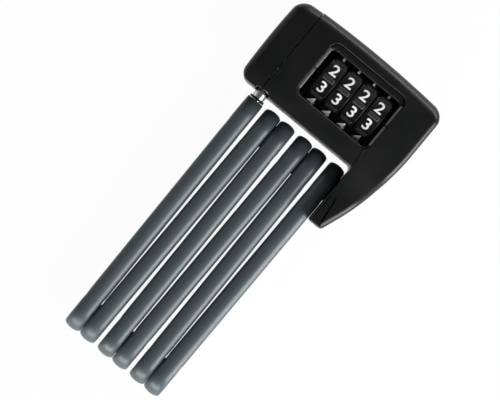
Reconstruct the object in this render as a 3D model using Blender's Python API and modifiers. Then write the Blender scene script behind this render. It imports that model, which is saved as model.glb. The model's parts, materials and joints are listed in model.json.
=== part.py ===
"""Folding bike lock: six steel bars in soft covers, hinged in a zigzag to a combination head.

The lock lies on its back, folded and closed. +X runs from the locking bolt to the hinge hook,
+Y from the bars to the head, and +Z out of the dial face. Sizes are in millimetres.
"""

import math

import bmesh
import bpy
from mathutils import Matrix, Vector

MM = 0.001
GAP = 0.3  # clearance between neighbouring solids

# Bars
BAR_COUNT = 6
PIVOT_SPAN = 117.6
COVER_THICKNESS = 8.6
COVER_DEPTH = 22.0
COVER_EDGE = 2.2
COVER_LEAN = 0.45  # each cover leans this far towards its neighbour at their joint
CORE_THICKNESS = 5.0
CORE_DEPTH = 18.0
SHANK_RADIUS = 3.5
RIVET_HEAD_RADIUS = 5.5
RIVET_HEAD_THICKNESS = 1.0
SPACER_RADIUS = 6.5

# Locking bolt
BOLT_RADIUS = 3.25
BOLT_INSERTION = 26.0
BOLT_NECK_RADIUS = 1.9
BOLT_NECK_LENGTH = 5.2
BOLT_COLLAR_WIDTH = 0.65
BOLT_COLLAR_LENGTH = 1.1
STEM_RADIUS = 2.2
STEM_LENGTH = 12.5
PIN_RADIUS = 1.0
SOCKET_WALL = 1.6
SOCKET_CLEARANCE = 0.35

# Dials
DIAL_COUNT = 4
DIAL_FACES = 10
DIAL_RADIUS = 15.8
DIAL_WIDTH = 8.5
DIAL_PITCH = 9.07
DIAL_EDGE = 0.7
RIB_HEIGHT = 0.5
RIB_LENGTH = 6.3
RIB_WIDTH = 2.0
SLEEVE_RADIUS = 5.7
SLEEVE_LENGTH = 5.5
SPINDLE_RADIUS = 2.3
TANG_HEIGHT = 4.4
GATE_WIDTH = 2.2

# Head
WALL = 2.6
BACK_PLATE = 2.4
HEAD_EDGE = 2.0
HOOK_REACH = 18.35
HOOK_TIP_WIDTH = 7.5
HOOK_TIP_DROP = 17.9
HOOK_STEP = 8.0  # the hook's front lies this much lower than the head's
SIDE_MARGIN = 14.6
BAR_CLEARANCE = 2.6
DIAL_TO_UNDERSIDE = 8.5
DIAL_TO_TOP = 7.1
DIAL_TO_BOLT = 33.7
CAP_WIDTH = 13.0
CAP_INSET = 0.3
FRONT_MARGIN = 0.7
BEZEL_DROP = 1.6
BEZEL_THICKNESS = 4.0
BEZEL_BORDER = 1.8
BEZEL_LOWER_BORDER = 2.2
BEZEL_UPPER_BORDER = 3.3
BEZEL_LEFT_MARGIN = 4.95
BEZEL_RIGHT_MARGIN = 4.1
BEZEL_CORNER = 4.5
MOUTH_WIDTH = 7.5
MOUTH_HEIGHT = 2.0
BOSS_RADIUS = 2.8
SCREW_RADIUS = 1.3
SCREW_HEAD_RADIUS = 2.4
SCREW_HEAD_LENGTH = 1.2
SCREW_LENGTH = 11.0

# Inside the head
CASE_WALL = 1.8
CASE_HEADROOM = 2.7
LATCH_TRAVEL = 1.4
LATCH_DEPTH = 4.0
LATCH_HEIGHT = 3.4
LATCH_ARM = 2.4
SPRING_LENGTH = 3.0
SPRING_TURNS = 3
SPRING_WIRE = 0.3
DETENT_THICKNESS = 0.5
DETENT_FINGER = 3.2
RESET_TRAVEL = 4.0
RESET_LENGTH = 5.0
RESET_WIDTH = 2.4

SEGMENTS = 16
ARC_STEP = math.radians(18)
ROD_TURN = math.radians(4)  # keeps a rod's corners off the planes that its neighbours are cut on

# Places that follow from the sizes above
BAR_PITCH = COVER_THICKNESS + 2 * COVER_LEAN + GAP
STACK = (BAR_COUNT - 1) * BAR_PITCH
HALF_COVER = COVER_THICKNESS / 2
HALF_CORE = CORE_THICKNESS / 2
DIAL_TIP = DIAL_RADIUS + RIB_HEIGHT
HEAD_HEIGHT = 2 * DIAL_TIP + DIAL_TO_UNDERSIDE + DIAL_TO_TOP
HEAD_DEPTH = BACK_PLATE + GAP + 2 * DIAL_TIP + FRONT_MARGIN
HEAD_WIDTH = SIDE_MARGIN + STACK + HALF_COVER + COVER_LEAN + GAP + HOOK_REACH
TOTAL_LENGTH = HEAD_HEIGHT + BAR_CLEARANCE + COVER_DEPTH + PIVOT_SPAN

TOP_Y = TOTAL_LENGTH / 2
UNDERSIDE_Y = TOP_Y - HEAD_HEIGHT
TOP_PIVOT_Y = UNDERSIDE_Y - BAR_CLEARANCE - COVER_DEPTH / 2
BOTTOM_PIVOT_Y = TOP_PIVOT_Y - PIVOT_SPAN
HOOK_TIP_Y = TOP_PIVOT_Y - HOOK_TIP_DROP
BAR_Z = COVER_DEPTH / 2
LEFT_X = -HEAD_WIDTH / 2
RIGHT_X = HEAD_WIDTH / 2
HOOK_X = RIGHT_X - HOOK_REACH
SEAM_X = LEFT_X + CAP_WIDTH
BAR_X = [LEFT_X + SIDE_MARGIN + i * BAR_PITCH for i in range(BAR_COUNT)]
BOLT_X = BAR_X[0] - COVER_LEAN
BOLT_FOOT_Y = UNDERSIDE_Y - BAR_CLEARANCE - BOLT_COLLAR_LENGTH
BOLT_TIP_Y = UNDERSIDE_Y + WALL + BOLT_INSERTION
SOCKET_RADIUS = BOLT_RADIUS + SOCKET_CLEARANCE
SOCKET_OUTER = SOCKET_RADIUS + SOCKET_WALL
BOLT_COLLAR_RADIUS = BOLT_RADIUS + BOLT_COLLAR_WIDTH

DIAL_Y = UNDERSIDE_Y + DIAL_TO_UNDERSIDE + DIAL_TIP
DIAL_Z = BACK_PLATE + GAP + DIAL_TIP
DIAL_MIDDLE_X = BOLT_X + DIAL_TO_BOLT
DIAL_X = [DIAL_MIDDLE_X + (i - (DIAL_COUNT - 1) / 2) * DIAL_PITCH for i in range(DIAL_COUNT)]
STACK_LEFT = DIAL_X[0] - DIAL_WIDTH / 2
STACK_RIGHT = DIAL_X[-1] + DIAL_WIDTH / 2
BEZEL_LEFT = STACK_LEFT - BEZEL_LEFT_MARGIN
BEZEL_RIGHT = STACK_RIGHT + BEZEL_RIGHT_MARGIN
WINDOW_LOW = DIAL_Y - DIAL_RADIUS + 2.4
WINDOW_HIGH = DIAL_Y + DIAL_RADIUS - 2.8
BEZEL_LOW = WINDOW_LOW - BEZEL_LOWER_BORDER
BEZEL_HIGH = WINDOW_HIGH + BEZEL_UPPER_BORDER
BEZEL_Z = HEAD_DEPTH - BEZEL_DROP
FRONT_LOW = BACK_PLATE + GAP

CASE_LEFT = STACK_LEFT - GAP - CASE_WALL
CASE_RIGHT = STACK_RIGHT + GAP + CASE_WALL
CASE_HEIGHT = BEZEL_Z - BEZEL_THICKNESS - CASE_HEADROOM - FRONT_LOW
CASE_WEB_Y = DIAL_Y - DIAL_TIP - GAP - CASE_WALL
LATCH_TIP_X = BOLT_X + BOLT_RADIUS + 0.4
LATCH_ARM_X = CASE_LEFT - GAP - SPRING_LENGTH - GAP
CHEEK_X = HOOK_X + WALL + GAP
NECK_Y = DIAL_Y - BOLT_NECK_LENGTH / 2
RESET_X = DIAL_MIDDLE_X - 8.0
RESET_Y = (UNDERSIDE_Y + WALL + CASE_WEB_Y) / 2
SCREW_PLACES = [
    (SEAM_X + 7.3, TOP_Y - 5.7),
    (RIGHT_X - 10.3, TOP_Y - 7.6),
    (BEZEL_LEFT - 0.9, UNDERSIDE_Y + WALL + BOSS_RADIUS - 0.9),
    (RIGHT_X - 7.0, UNDERSIDE_Y - 2.0),
]

# name: (base colour, roughness, metallic)
FINISHES = {
    "head_plastic": ((0.012, 0.014, 0.012), 0.5, 0.0),
    "bezel_plastic": ((0.02, 0.021, 0.02), 0.4, 0.0),
    "dial_plastic": ((0.012, 0.012, 0.013), 0.4, 0.0),
    "cover_rubber": ((0.06, 0.075, 0.082), 0.6, 0.0),
    "bar_steel": ((0.45, 0.45, 0.46), 0.4, 1.0),
    "chrome": ((0.75, 0.75, 0.76), 0.15, 1.0),
    "zinc_steel": ((0.55, 0.55, 0.54), 0.35, 1.0),
    "brass": ((0.7, 0.52, 0.25), 0.35, 1.0),
    "spring_steel": ((0.4, 0.4, 0.42), 0.3, 1.0),
}


# ---------------------------------------------------------------- scene


def clear_scene():
    for item in list(bpy.data.objects):
        bpy.data.objects.remove(item)


def new_collection(name):
    collection = bpy.data.collections.new(name)
    bpy.context.scene.collection.children.link(collection)
    return collection


def new_material(name, finish):
    colour, roughness, metallic = FINISHES[finish]
    material = bpy.data.materials.new(name + "_" + finish)
    material.use_nodes = True
    shader = material.node_tree.nodes["Principled BSDF"]
    shader.inputs["Base Color"].default_value = (*colour, 1.0)
    shader.inputs["Roughness"].default_value = roughness
    shader.inputs["Metallic"].default_value = metallic
    return material


def add_axis(name, place, parent=None):
    """An empty on a joint's axis; place is in world millimetres."""
    empty = bpy.data.objects.new(name, None)
    PARTS.objects.link(empty)
    empty.empty_display_size = 0.01
    world = Vector(place) * MM
    if parent:
        empty.parent = parent
        world = world - parent.matrix_world.translation
    empty.location = world
    bpy.context.view_layer.update()
    return empty


def add_part(name, mesh, axis, finish, turn=None):
    """A named piece whose mesh is in metres about its joint axis, or in world space if turn is None."""
    part = bpy.data.objects.new(name, mesh)
    PARTS.objects.link(part)
    part.parent = axis
    part.rotation_euler = turn or (0, 0, 0)
    mesh.materials.append(new_material(name, finish))
    bpy.context.view_layer.update()
    return part


def add_cutter(name, mesh, turn=None, place=(0, 0, 0)):
    cutter = bpy.data.objects.new("cut_" + name, mesh)
    CUTTERS.objects.link(cutter)
    cutter.rotation_euler = turn or (0, 0, 0)
    cutter.location = Vector(place) * MM
    cutter.hide_render = True
    cutter.display_type = "WIRE"
    bpy.context.view_layer.update()
    return cutter


def combine(part, tool, operation="DIFFERENCE"):
    boolean = part.modifiers.new(operation.lower() + "_" + tool.name, "BOOLEAN")
    boolean.operation = operation
    boolean.object = tool


# ---------------------------------------------------------------- outlines, in millimetres


def fillet_outline(corners, inset=0.0):
    """Anticlockwise outline through (x, y, radius) corners, moved inwards by inset."""
    points = []
    count = len(corners)
    for index, (x, y, radius) in enumerate(corners):
        here = Vector((x, y))
        before = (here - Vector(corners[index - 1][:2])).normalized()
        after = (Vector(corners[(index + 1) % count][:2]) - here).normalized()
        left_before = Vector((-before.y, before.x))
        left_after = Vector((-after.y, after.x))
        here = here + inset * (left_before + left_after) / (1 + left_before.dot(left_after))
        turn = math.atan2(before.cross(after), before.dot(after))
        side = 1 if turn > 0 else -1
        bend = radius - side * inset
        if bend <= 0.05:
            points.append((here.x, here.y))
            continue
        start = here - before * bend * math.tan(abs(turn) / 2)
        centre = start + side * left_before * bend
        steps = max(1, math.ceil(abs(turn) / ARC_STEP))
        for step in range(steps + 1):
            spoke = (start - centre).copy()
            spoke.rotate(Matrix.Rotation(turn * step / steps, 2))
            points.append(tuple(centre + spoke))
    return [point for point, last in zip(points, points[-1:] + points) if apart(point, last)]


def apart(first, second):
    return math.dist(first, second) > 0.02


def rounded_box(low_x, high_x, low_y, high_y, radius, inset=0.0):
    corners = [(low_x, low_y), (high_x, low_y), (high_x, high_y), (low_x, high_y)]
    return fillet_outline([(x, y, radius) for x, y in corners], inset)


def stadium(low, high, radius):
    """Outline in (Y, Z) of a bar between two pivots, round the bar's axis height."""
    lower, upper = BAR_Z - radius, BAR_Z + radius
    return rounded_box(low - radius, high + radius, lower, upper, radius)


def outline_bmesh(outline, low, high):
    """A flat outline given thickness from low to high along Z, with single-face ends."""
    curve = bpy.data.curves.new("outline", "CURVE")
    curve.dimensions = "2D"
    curve.fill_mode = "BOTH"
    curve.extrude = (high - low) / 2
    spline = curve.splines.new("POLY")
    spline.points.add(len(outline) - 1)
    for point, (x, y) in zip(spline.points, outline):
        point.co = (x, y, 0, 1)
    spline.use_cyclic_u = True
    holder = bpy.data.objects.new("outline", curve)
    CUTTERS.objects.link(holder)
    bpy.context.view_layer.update()
    graph = bpy.context.evaluated_depsgraph_get()
    mesh = bpy.data.meshes.new_from_object(holder.evaluated_get(graph))
    bpy.data.objects.remove(holder)
    solid = bmesh.new()
    solid.from_mesh(mesh)
    bmesh.ops.remove_doubles(solid, verts=solid.verts, dist=0.0001)
    bmesh.ops.dissolve_limit(
        solid, angle_limit=0.001, verts=solid.verts, edges=solid.edges, delimit={"NORMAL"}
    )
    bmesh.ops.translate(solid, vec=(0, 0, (low + high) / 2), verts=solid.verts)
    bmesh.ops.recalc_face_normals(solid, faces=solid.faces)
    return solid


def end_edges(solid, level):
    """The rim edges of the flat end that lies at the given Z."""

    def at_level(edge):
        return all(abs(corner.co.z - level) < 0.001 for corner in edge.verts)

    return [edge for edge in solid.edges if at_level(edge)]


def round_rims(solid, levels, width, segments):
    rims = [edge for level in levels for edge in end_edges(solid, level)]
    bmesh.ops.bevel(
        solid, geom=rims, offset=width, segments=segments, profile=0.5, affect="EDGES"
    )


def slice_at(solid, point, normal, keep_inner=None):
    """Cut edges into a solid along a plane, or trim what lies beyond the plane and close it."""
    geometry = list(solid.verts) + list(solid.edges) + list(solid.faces)
    result = bmesh.ops.bisect_plane(
        solid, geom=geometry, plane_co=point, plane_no=normal, clear_outer=keep_inner is True
    )
    if keep_inner:
        rim = [item for item in result["geom_cut"] if isinstance(item, bmesh.types.BMEdge)]
        bmesh.ops.contextual_create(solid, geom=rim)


def to_mesh(solid, name, plane="XY", offset=(0, 0, 0)):
    """Metres, with the outline's plane turned to XY, YZ or XZ, and moved by -offset."""
    turns = {
        "XY": Matrix.Identity(4),
        "YZ": Matrix(((0, 0, 1, 0), (1, 0, 0, 0), (0, 1, 0, 0), (0, 0, 0, 1))),
        "XZ": Matrix(((1, 0, 0, 0), (0, 0, -1, 0), (0, 1, 0, 0), (0, 0, 0, 1))),
    }
    shift = Matrix.Translation(-Vector(offset))
    solid.transform(Matrix.Scale(MM, 4) @ shift @ turns[plane])
    mesh = bpy.data.meshes.new(name)
    solid.to_mesh(mesh)
    solid.free()
    mesh.shade_smooth()
    mesh.set_sharp_from_angle(angle=math.radians(30))
    return mesh


def box_mesh(name, low, high, offset=(0, 0, 0)):
    solid = bmesh.new()
    bmesh.ops.create_cube(solid, size=1.0)
    size = Vector(high) - Vector(low)
    middle = (Vector(high) + Vector(low)) / 2
    bmesh.ops.transform(
        solid, matrix=Matrix.Translation(middle) @ Matrix.Diagonal((*size, 1)), verts=solid.verts
    )
    return to_mesh(solid, name, offset=offset)


def rod_mesh(name, radius, length, segments=SEGMENTS):
    """A cylinder along Z, centred."""
    solid = bmesh.new()
    bmesh.ops.create_cone(
        solid,
        cap_ends=True,
        segments=segments,
        radius1=radius,
        radius2=radius,
        depth=length,
        matrix=Matrix.Rotation(ROD_TURN, 4, "Z"),
    )
    return to_mesh(solid, name)


ALONG_X = (0, math.pi / 2, 0)
ALONG_Y = (-math.pi / 2, 0, 0)


def cross_rod(name, radius, low_x, high_x, y, z):
    """A round cutter along X."""
    place = ((low_x + high_x) / 2, y, z)
    return add_cutter(name, rod_mesh(name, radius, high_x - low_x, 20), ALONG_X, place)


def add_turned(name, profile, axis, finish, turn, shift, closed=False):
    """A turned piece: (radius, height) points run down the outer side, about local Z.

    shift is the place of height 0 relative to the piece's joint axis.
    """
    solid = bmesh.new()
    corners = [solid.verts.new((radius, 0, height)) for radius, height in profile]
    pairs = list(zip(corners, corners[1:]))
    if closed:
        pairs.append((corners[-1], corners[0]))
    for first, second in pairs:
        solid.edges.new((first, second))
    part = add_part(name, to_mesh(solid, name), axis, finish, turn)
    part.location = Vector(shift) * MM
    screw = part.modifiers.new("turn", "SCREW")
    screw.steps = SEGMENTS
    screw.render_steps = SEGMENTS
    screw.use_merge_vertices = True
    screw.merge_threshold = 0.00001
    weld = part.modifiers.new("poles", "WELD")
    weld.merge_threshold = 0.00001
    bpy.context.view_layer.update()
    return part


def ring_profile(inner, outer, length):
    return [(outer, length), (outer, 0), (inner, 0), (inner, length)]


# ---------------------------------------------------------------- bars


def joins_below(number):
    """Bars 1 and 2, 3 and 4, 5 and 6 meet at their lower ends."""
    return 1 if number % 2 else -1


def lean_at(number, y):
    """A cover's sideways shift: full beyond each pivot, and even in between."""
    share = (y - (TOP_PIVOT_Y + BOTTOM_PIVOT_Y) / 2) / (PIVOT_SPAN / 2)
    return -joins_below(number) * COVER_LEAN * max(-1.0, min(1.0, share))


def add_bar_core(number, axis, origin):
    x = BAR_X[number - 1]
    radius = CORE_DEPTH / 2
    solid = outline_bmesh(
        stadium(BOTTOM_PIVOT_Y, TOP_PIVOT_Y, radius), x - HALF_CORE, x + HALF_CORE
    )
    name = f"bar_{number}_core"
    if number == 1:
        slice_at(solid, (core_top_y(), 0, 0), (1, 0, 0), keep_inner=True)
    core = add_part(name, to_mesh(solid, name, "YZ", origin), axis, "bar_steel")
    for y in pivot_heights(number):
        hole = cross_rod(f"{name}_{y:.0f}", SHANK_RADIUS + GAP, x - 9, x + 9, y, BAR_Z)
        combine(core, hole)
    if number == 1:
        cut_bolt_seat(core)
    return core


def pivot_heights(number):
    return [BOTTOM_PIVOT_Y] if number == 1 else [BOTTOM_PIVOT_Y, TOP_PIVOT_Y]


def core_top_y():
    return BOLT_FOOT_Y - 2.8


def cut_bolt_seat(core):
    """A slot for the bolt's stem, and the hole of its cross pin."""
    slot = STEM_RADIUS + GAP
    foot = BOLT_FOOT_Y - STEM_LENGTH - GAP
    low = (BAR_X[0] - 9, foot, BAR_Z - slot)
    high = (BAR_X[0] + 9, TOP_PIVOT_Y + COVER_DEPTH, BAR_Z + slot)
    combine(core, add_cutter("stem_slot", box_mesh("stem_slot", low, high)))
    hole = rod_mesh("pin_hole", PIN_RADIUS + GAP / 2, CORE_DEPTH + 8, 12)
    combine(core, add_cutter("pin_hole", hole, None, (BOLT_X, pin_y(), BAR_Z)))


def pin_y():
    return BOLT_FOOT_Y - STEM_LENGTH + 4.0


def leaning_cover(number):
    """The rounded cover, with its ends set over towards the joints."""
    x = BAR_X[number - 1]
    outline = stadium(BOTTOM_PIVOT_Y, TOP_PIVOT_Y, COVER_DEPTH / 2)
    low, high = x - HALF_COVER, x + HALF_COVER
    solid = outline_bmesh(outline, low, high)
    round_rims(solid, (low, high), COVER_EDGE, 2)
    for y in (BOTTOM_PIVOT_Y, TOP_PIVOT_Y):
        slice_at(solid, (y, 0, 0), (1, 0, 0))
    if number == 1:
        slice_at(solid, (BOLT_FOOT_Y - GAP, 0, 0), (1, 0, 0), keep_inner=True)
    for corner in solid.verts:
        corner.co.z += lean_at(number, corner.co.x)
    return solid


def add_bar_cover(number, axis, origin):
    x = BAR_X[number - 1]
    name = f"bar_{number}_cover"
    cover = add_part(
        name, to_mesh(leaning_cover(number), name, "YZ", origin), axis, "cover_rubber"
    )
    room = stadium(BOTTOM_PIVOT_Y, TOP_PIVOT_Y, CORE_DEPTH / 2 + GAP)
    cavity = outline_bmesh(room, x - HALF_CORE - GAP, x + HALF_CORE + GAP)
    if number == 1:
        slice_at(cavity, (core_top_y() + GAP, 0, 0), (1, 0, 0), keep_inner=True)
    combine(cover, add_cutter(name + "_cavity", to_mesh(cavity, name, "YZ")))
    for y in pivot_heights(number):
        towards = joins_below(number) if y == BOTTOM_PIVOT_Y else -joins_below(number)
        for side, radius in ((towards, SPACER_RADIUS), (-towards, RIVET_HEAD_RADIUS)):
            low, high = sorted((x, x + side * 9))
            hole = cross_rod(f"{name}_{y:.0f}_{side}", radius + GAP, low, high, y, BAR_Z)
            combine(cover, hole)
    if number == 1:
        length = 12.0
        hole = rod_mesh("stem_hole", STEM_RADIUS + GAP, length)
        place = (BOLT_X, core_top_y() + length / 2 - GAP, BAR_Z)
        combine(cover, add_cutter("stem_hole", hole, ALONG_Y, place))
    return cover


def rivet_profile(length):
    """Two flat-domed heads on a shank; length is between the heads."""
    step = RIVET_HEAD_THICKNESS
    return [
        (0, length + step),
        (RIVET_HEAD_RADIUS - 0.8, length + step),
        (RIVET_HEAD_RADIUS, length + step * 0.4),
        (RIVET_HEAD_RADIUS, length),
        (SHANK_RADIUS, length),
        (SHANK_RADIUS, 0),
        (RIVET_HEAD_RADIUS, 0),
        (RIVET_HEAD_RADIUS, -step * 0.4),
        (RIVET_HEAD_RADIUS - 0.8, -step),
        (0, -step),
    ]


def add_joint_hardware(label, low_x, high_x, y, axis, origin):
    """A rivet and the spacer between the two plates whose outer faces are at low_x and high_x."""
    start = low_x - GAP
    length = high_x - low_x + 2 * GAP
    shift = Vector((start, y, BAR_Z)) - Vector(origin)
    add_turned("rivet_" + label, rivet_profile(length), axis, "zinc_steel", ALONG_X, shift)
    inner_low = low_x + CORE_THICKNESS + GAP
    inner_length = high_x - low_x - 2 * CORE_THICKNESS - 2 * GAP
    shift = Vector((inner_low, y, BAR_Z)) - Vector(origin)
    profile = ring_profile(SHANK_RADIUS + GAP, SPACER_RADIUS, inner_length)
    add_turned("spacer_" + label, profile, axis, "brass", ALONG_X, shift, closed=True)


def bar_pivot(number):
    """Where a bar hangs from the bar or hook on its right."""
    y = TOP_PIVOT_Y if number % 2 == 0 else BOTTOM_PIVOT_Y
    return (BAR_X[number - 1] + BAR_PITCH / 2, y, BAR_Z)


def build_bars():
    axis, last = None, None
    for number in range(BAR_COUNT, 0, -1):
        origin = bar_pivot(number)
        axis = add_axis(f"axis_bar_{number}", origin, last)
        last = axis
        add_bar_core(number, axis, origin)
        add_bar_cover(number, axis, origin)
        if number > 1:
            y = BOTTOM_PIVOT_Y if number % 2 == 0 else TOP_PIVOT_Y
            low = BAR_X[number - 2] - HALF_CORE
            high = BAR_X[number - 1] + HALF_CORE
            add_joint_hardware(f"{number - 1}_{number}", low, high, y, axis, origin)
    build_bolt(axis, bar_pivot(1))


def bolt_profile():
    """From the tip down to the stem's foot; height 0 is the collar's lower face."""
    tip = BOLT_TIP_Y - BOLT_FOOT_Y
    neck = NECK_Y - BOLT_FOOT_Y
    return [
        (0, tip),
        (BOLT_RADIUS - 1.6, tip),
        (BOLT_RADIUS, tip - 1.6),
        (BOLT_RADIUS, neck + BOLT_NECK_LENGTH),
        (BOLT_NECK_RADIUS, neck + BOLT_NECK_LENGTH - 0.6),
        (BOLT_NECK_RADIUS, neck + 0.6),
        (BOLT_RADIUS, neck),
        (BOLT_RADIUS, BOLT_COLLAR_LENGTH),
        (BOLT_COLLAR_RADIUS, BOLT_COLLAR_LENGTH),
        (BOLT_COLLAR_RADIUS, 0),
        (STEM_RADIUS, 0),
        (STEM_RADIUS, -STEM_LENGTH),
        (0, -STEM_LENGTH),
    ]


def build_bolt(axis, origin):
    shift = Vector((BOLT_X, BOLT_FOOT_Y, BAR_Z)) - Vector(origin)
    bolt = add_turned("locking_bolt", bolt_profile(), axis, "chrome", ALONG_Y, shift)
    hole = rod_mesh("bolt_pin_hole", PIN_RADIUS + GAP / 2, 4 * STEM_RADIUS, 12)
    combine(bolt, add_cutter("bolt_pin_hole", hole, None, (BOLT_X, pin_y(), BAR_Z)))
    pin = rod_mesh("bolt_pin", PIN_RADIUS, CORE_DEPTH - 3.0, 12)
    part = add_part("bolt_pin", pin, axis, "zinc_steel")
    part.location = (Vector((BOLT_X, pin_y(), BAR_Z)) - Vector(origin)) * MM


# ---------------------------------------------------------------- head


def head_corners():
    """The outline of both covers, from the end cap's seam round the hook, as (x, y, radius)."""
    return [
        (SEAM_X + GAP / 2, UNDERSIDE_Y, 0),
        (HOOK_X, UNDERSIDE_Y, 2.0),
        (HOOK_X, HOOK_TIP_Y, 2.2),
        (HOOK_X + HOOK_TIP_WIDTH, HOOK_TIP_Y, 2.0),
        (RIGHT_X - 4.3, UNDERSIDE_Y - 13.5, 105.0),
        (RIGHT_X, UNDERSIDE_Y + 11.8, 130.0),
        (RIGHT_X, TOP_Y, 7.0),
        (SEAM_X + GAP / 2, TOP_Y, 0),
    ]


def cap_corners():
    return [
        (LEFT_X, UNDERSIDE_Y, 5.0),
        (SEAM_X - GAP / 2, UNDERSIDE_Y, 0),
        (SEAM_X - GAP / 2, TOP_Y - CAP_INSET, 0),
        (LEFT_X, TOP_Y - CAP_INSET, 7.0),
    ]


def hook_drop(y):
    """How far the front sinks towards the hook's tip: a smooth step below the dials."""
    share = (UNDERSIDE_Y + 10.0 - y) / (UNDERSIDE_Y + 10.0 - TOP_PIVOT_Y)
    share = max(0.0, min(1.0, share))
    return HOOK_STEP * share * share * (3 - 2 * share)


def lower_hook(solid, middle):
    """Bring down everything above middle by the hook's drop."""
    rows = 6
    top = UNDERSIDE_Y + 10.0
    for row in range(rows + 1):
        y = TOP_PIVOT_Y + (top - TOP_PIVOT_Y) * row / rows
        slice_at(solid, (0, y, 0), (0, 1, 0))
    for corner in solid.verts:
        if corner.co.z > middle:
            corner.co.z -= hook_drop(corner.co.y)
    bmesh.ops.triangulate(solid, faces=solid.faces)


def head_shell(corners, low, high, edge_levels):
    solid = outline_bmesh(fillet_outline(corners), low, high)
    round_rims(solid, edge_levels, HEAD_EDGE, 2)
    return solid


def cavity_corners(corners, past_seam):
    """Inner corners: the walls move in, and the seam side is left open by past_seam."""
    seam_points = [(x + past_seam if abs(x - SEAM_X) < 1 else x, y, r) for x, y, r in corners]
    return seam_points


def build_front_cover():
    name = "head_front_cover"
    solid = head_shell(head_corners(), FRONT_LOW, HEAD_DEPTH, [HEAD_DEPTH])
    lower_hook(solid, BAR_Z)
    cover = add_part(name, to_mesh(solid, name), HEAD_AXIS, "head_plastic")
    inner = fillet_outline(cavity_corners(head_corners(), -2 * WALL), WALL)
    cavity = outline_bmesh(inner, FRONT_LOW - 1, HEAD_DEPTH - WALL)
    lower_hook(cavity, BAR_Z)
    combine(cover, add_cutter("front_cavity", to_mesh(cavity, "front_cavity")))
    for index, (x, y) in enumerate(SCREW_PLACES):
        top = HEAD_DEPTH - WALL / 2 - hook_drop(y)
        low = FRONT_LOW + 1.0
        boss = rod_mesh("boss", BOSS_RADIUS, top - low, 12)
        place = (x, y, (top + low) / 2)
        combine(cover, add_cutter(f"boss_{index}", boss, None, place), "UNION")
    opening = rounded_box(BEZEL_LEFT, BEZEL_RIGHT, BEZEL_LOW, BEZEL_HIGH, BEZEL_CORNER)
    window = outline_bmesh(opening, BEZEL_Z - BEZEL_THICKNESS - 4, HEAD_DEPTH + 2)
    combine(cover, add_cutter("bezel_opening", to_mesh(window, "bezel_opening")))
    depth = SCREW_LENGTH + 2.0
    for index, (x, y) in enumerate(SCREW_PLACES):
        pilot = rod_mesh("pilot", SCREW_RADIUS + GAP, depth, 12)
        place = (x, y, FRONT_LOW + depth / 2 - 1)
        combine(cover, add_cutter(f"pilot_{index}", pilot, None, place))
    cut_mouth(cover)
    side = cross_rod("hook_bore", SPACER_RADIUS + GAP, HOOK_X - 2, CHEEK_X + 1, TOP_PIVOT_Y, BAR_Z)
    combine(cover, side)
    return cover


def cut_mouth(part):
    """The arched recess where the bolt enters, and the bolt's own hole."""
    half = MOUTH_WIDTH / 2
    top = UNDERSIDE_Y + MOUTH_HEIGHT
    arch = rounded_box(BOLT_X - half, BOLT_X + half, UNDERSIDE_Y - 6, top, MOUTH_HEIGHT * 0.8)
    recess = outline_bmesh(arch, BAR_Z - half, HEAD_DEPTH + 4)
    combine(part, add_cutter("mouth_" + part.name, to_mesh(recess, "mouth")))
    length = 12.0
    hole = rod_mesh("bolt_hole", SOCKET_RADIUS, length, 20)
    place = (BOLT_X, UNDERSIDE_Y + WALL - length / 2 + 2, BAR_Z)
    combine(part, add_cutter("bolt_hole_" + part.name, hole, ALONG_Y, place))


def build_back_cover():
    name = "head_back_cover"
    solid = outline_bmesh(fillet_outline(head_corners()), 0, BACK_PLATE)
    round_rims(solid, [0], 1.2, 2)
    cover = add_part(name, to_mesh(solid, name), HEAD_AXIS, "head_plastic")
    for index, (x, y) in enumerate(SCREW_PLACES):
        hole = rod_mesh("screw_hole", SCREW_RADIUS + GAP, 4 * BACK_PLATE, 12)
        combine(cover, add_cutter(f"screw_hole_{index}", hole, None, (x, y, 0)))
        sink = rod_mesh("screw_sink", SCREW_HEAD_RADIUS + GAP, 2 * (SCREW_HEAD_LENGTH + GAP), 16)
        combine(cover, add_cutter(f"screw_sink_{index}", sink, None, (x, y, 0)))
    low, high = reset_slot()
    slot = outline_bmesh(
        rounded_box(low, high, RESET_Y - RESET_WIDTH / 2 - GAP, RESET_Y + RESET_WIDTH / 2 + GAP, 1.0),
        -2,
        BACK_PLATE + 2,
    )
    combine(cover, add_cutter("reset_slot", to_mesh(slot, "reset_slot")))
    return cover


def reset_slot():
    low = RESET_X - RESET_LENGTH / 2 - GAP
    high = RESET_X + RESET_LENGTH / 2 + RESET_TRAVEL + GAP
    return low, high


def build_end_cap():
    name = "head_end_cap"
    solid = head_shell(cap_corners(), 0, HEAD_DEPTH, [0, HEAD_DEPTH])
    cap = add_part(name, to_mesh(solid, name), HEAD_AXIS, "head_plastic")
    inner = fillet_outline(cavity_corners(cap_corners(), 2 * WALL + 4), WALL)
    cavity = outline_bmesh(inner, BACK_PLATE, HEAD_DEPTH - WALL)
    combine(cap, add_cutter("cap_cavity", to_mesh(cavity, "cap_cavity")))
    cut_mouth(cap)
    return cap


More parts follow.
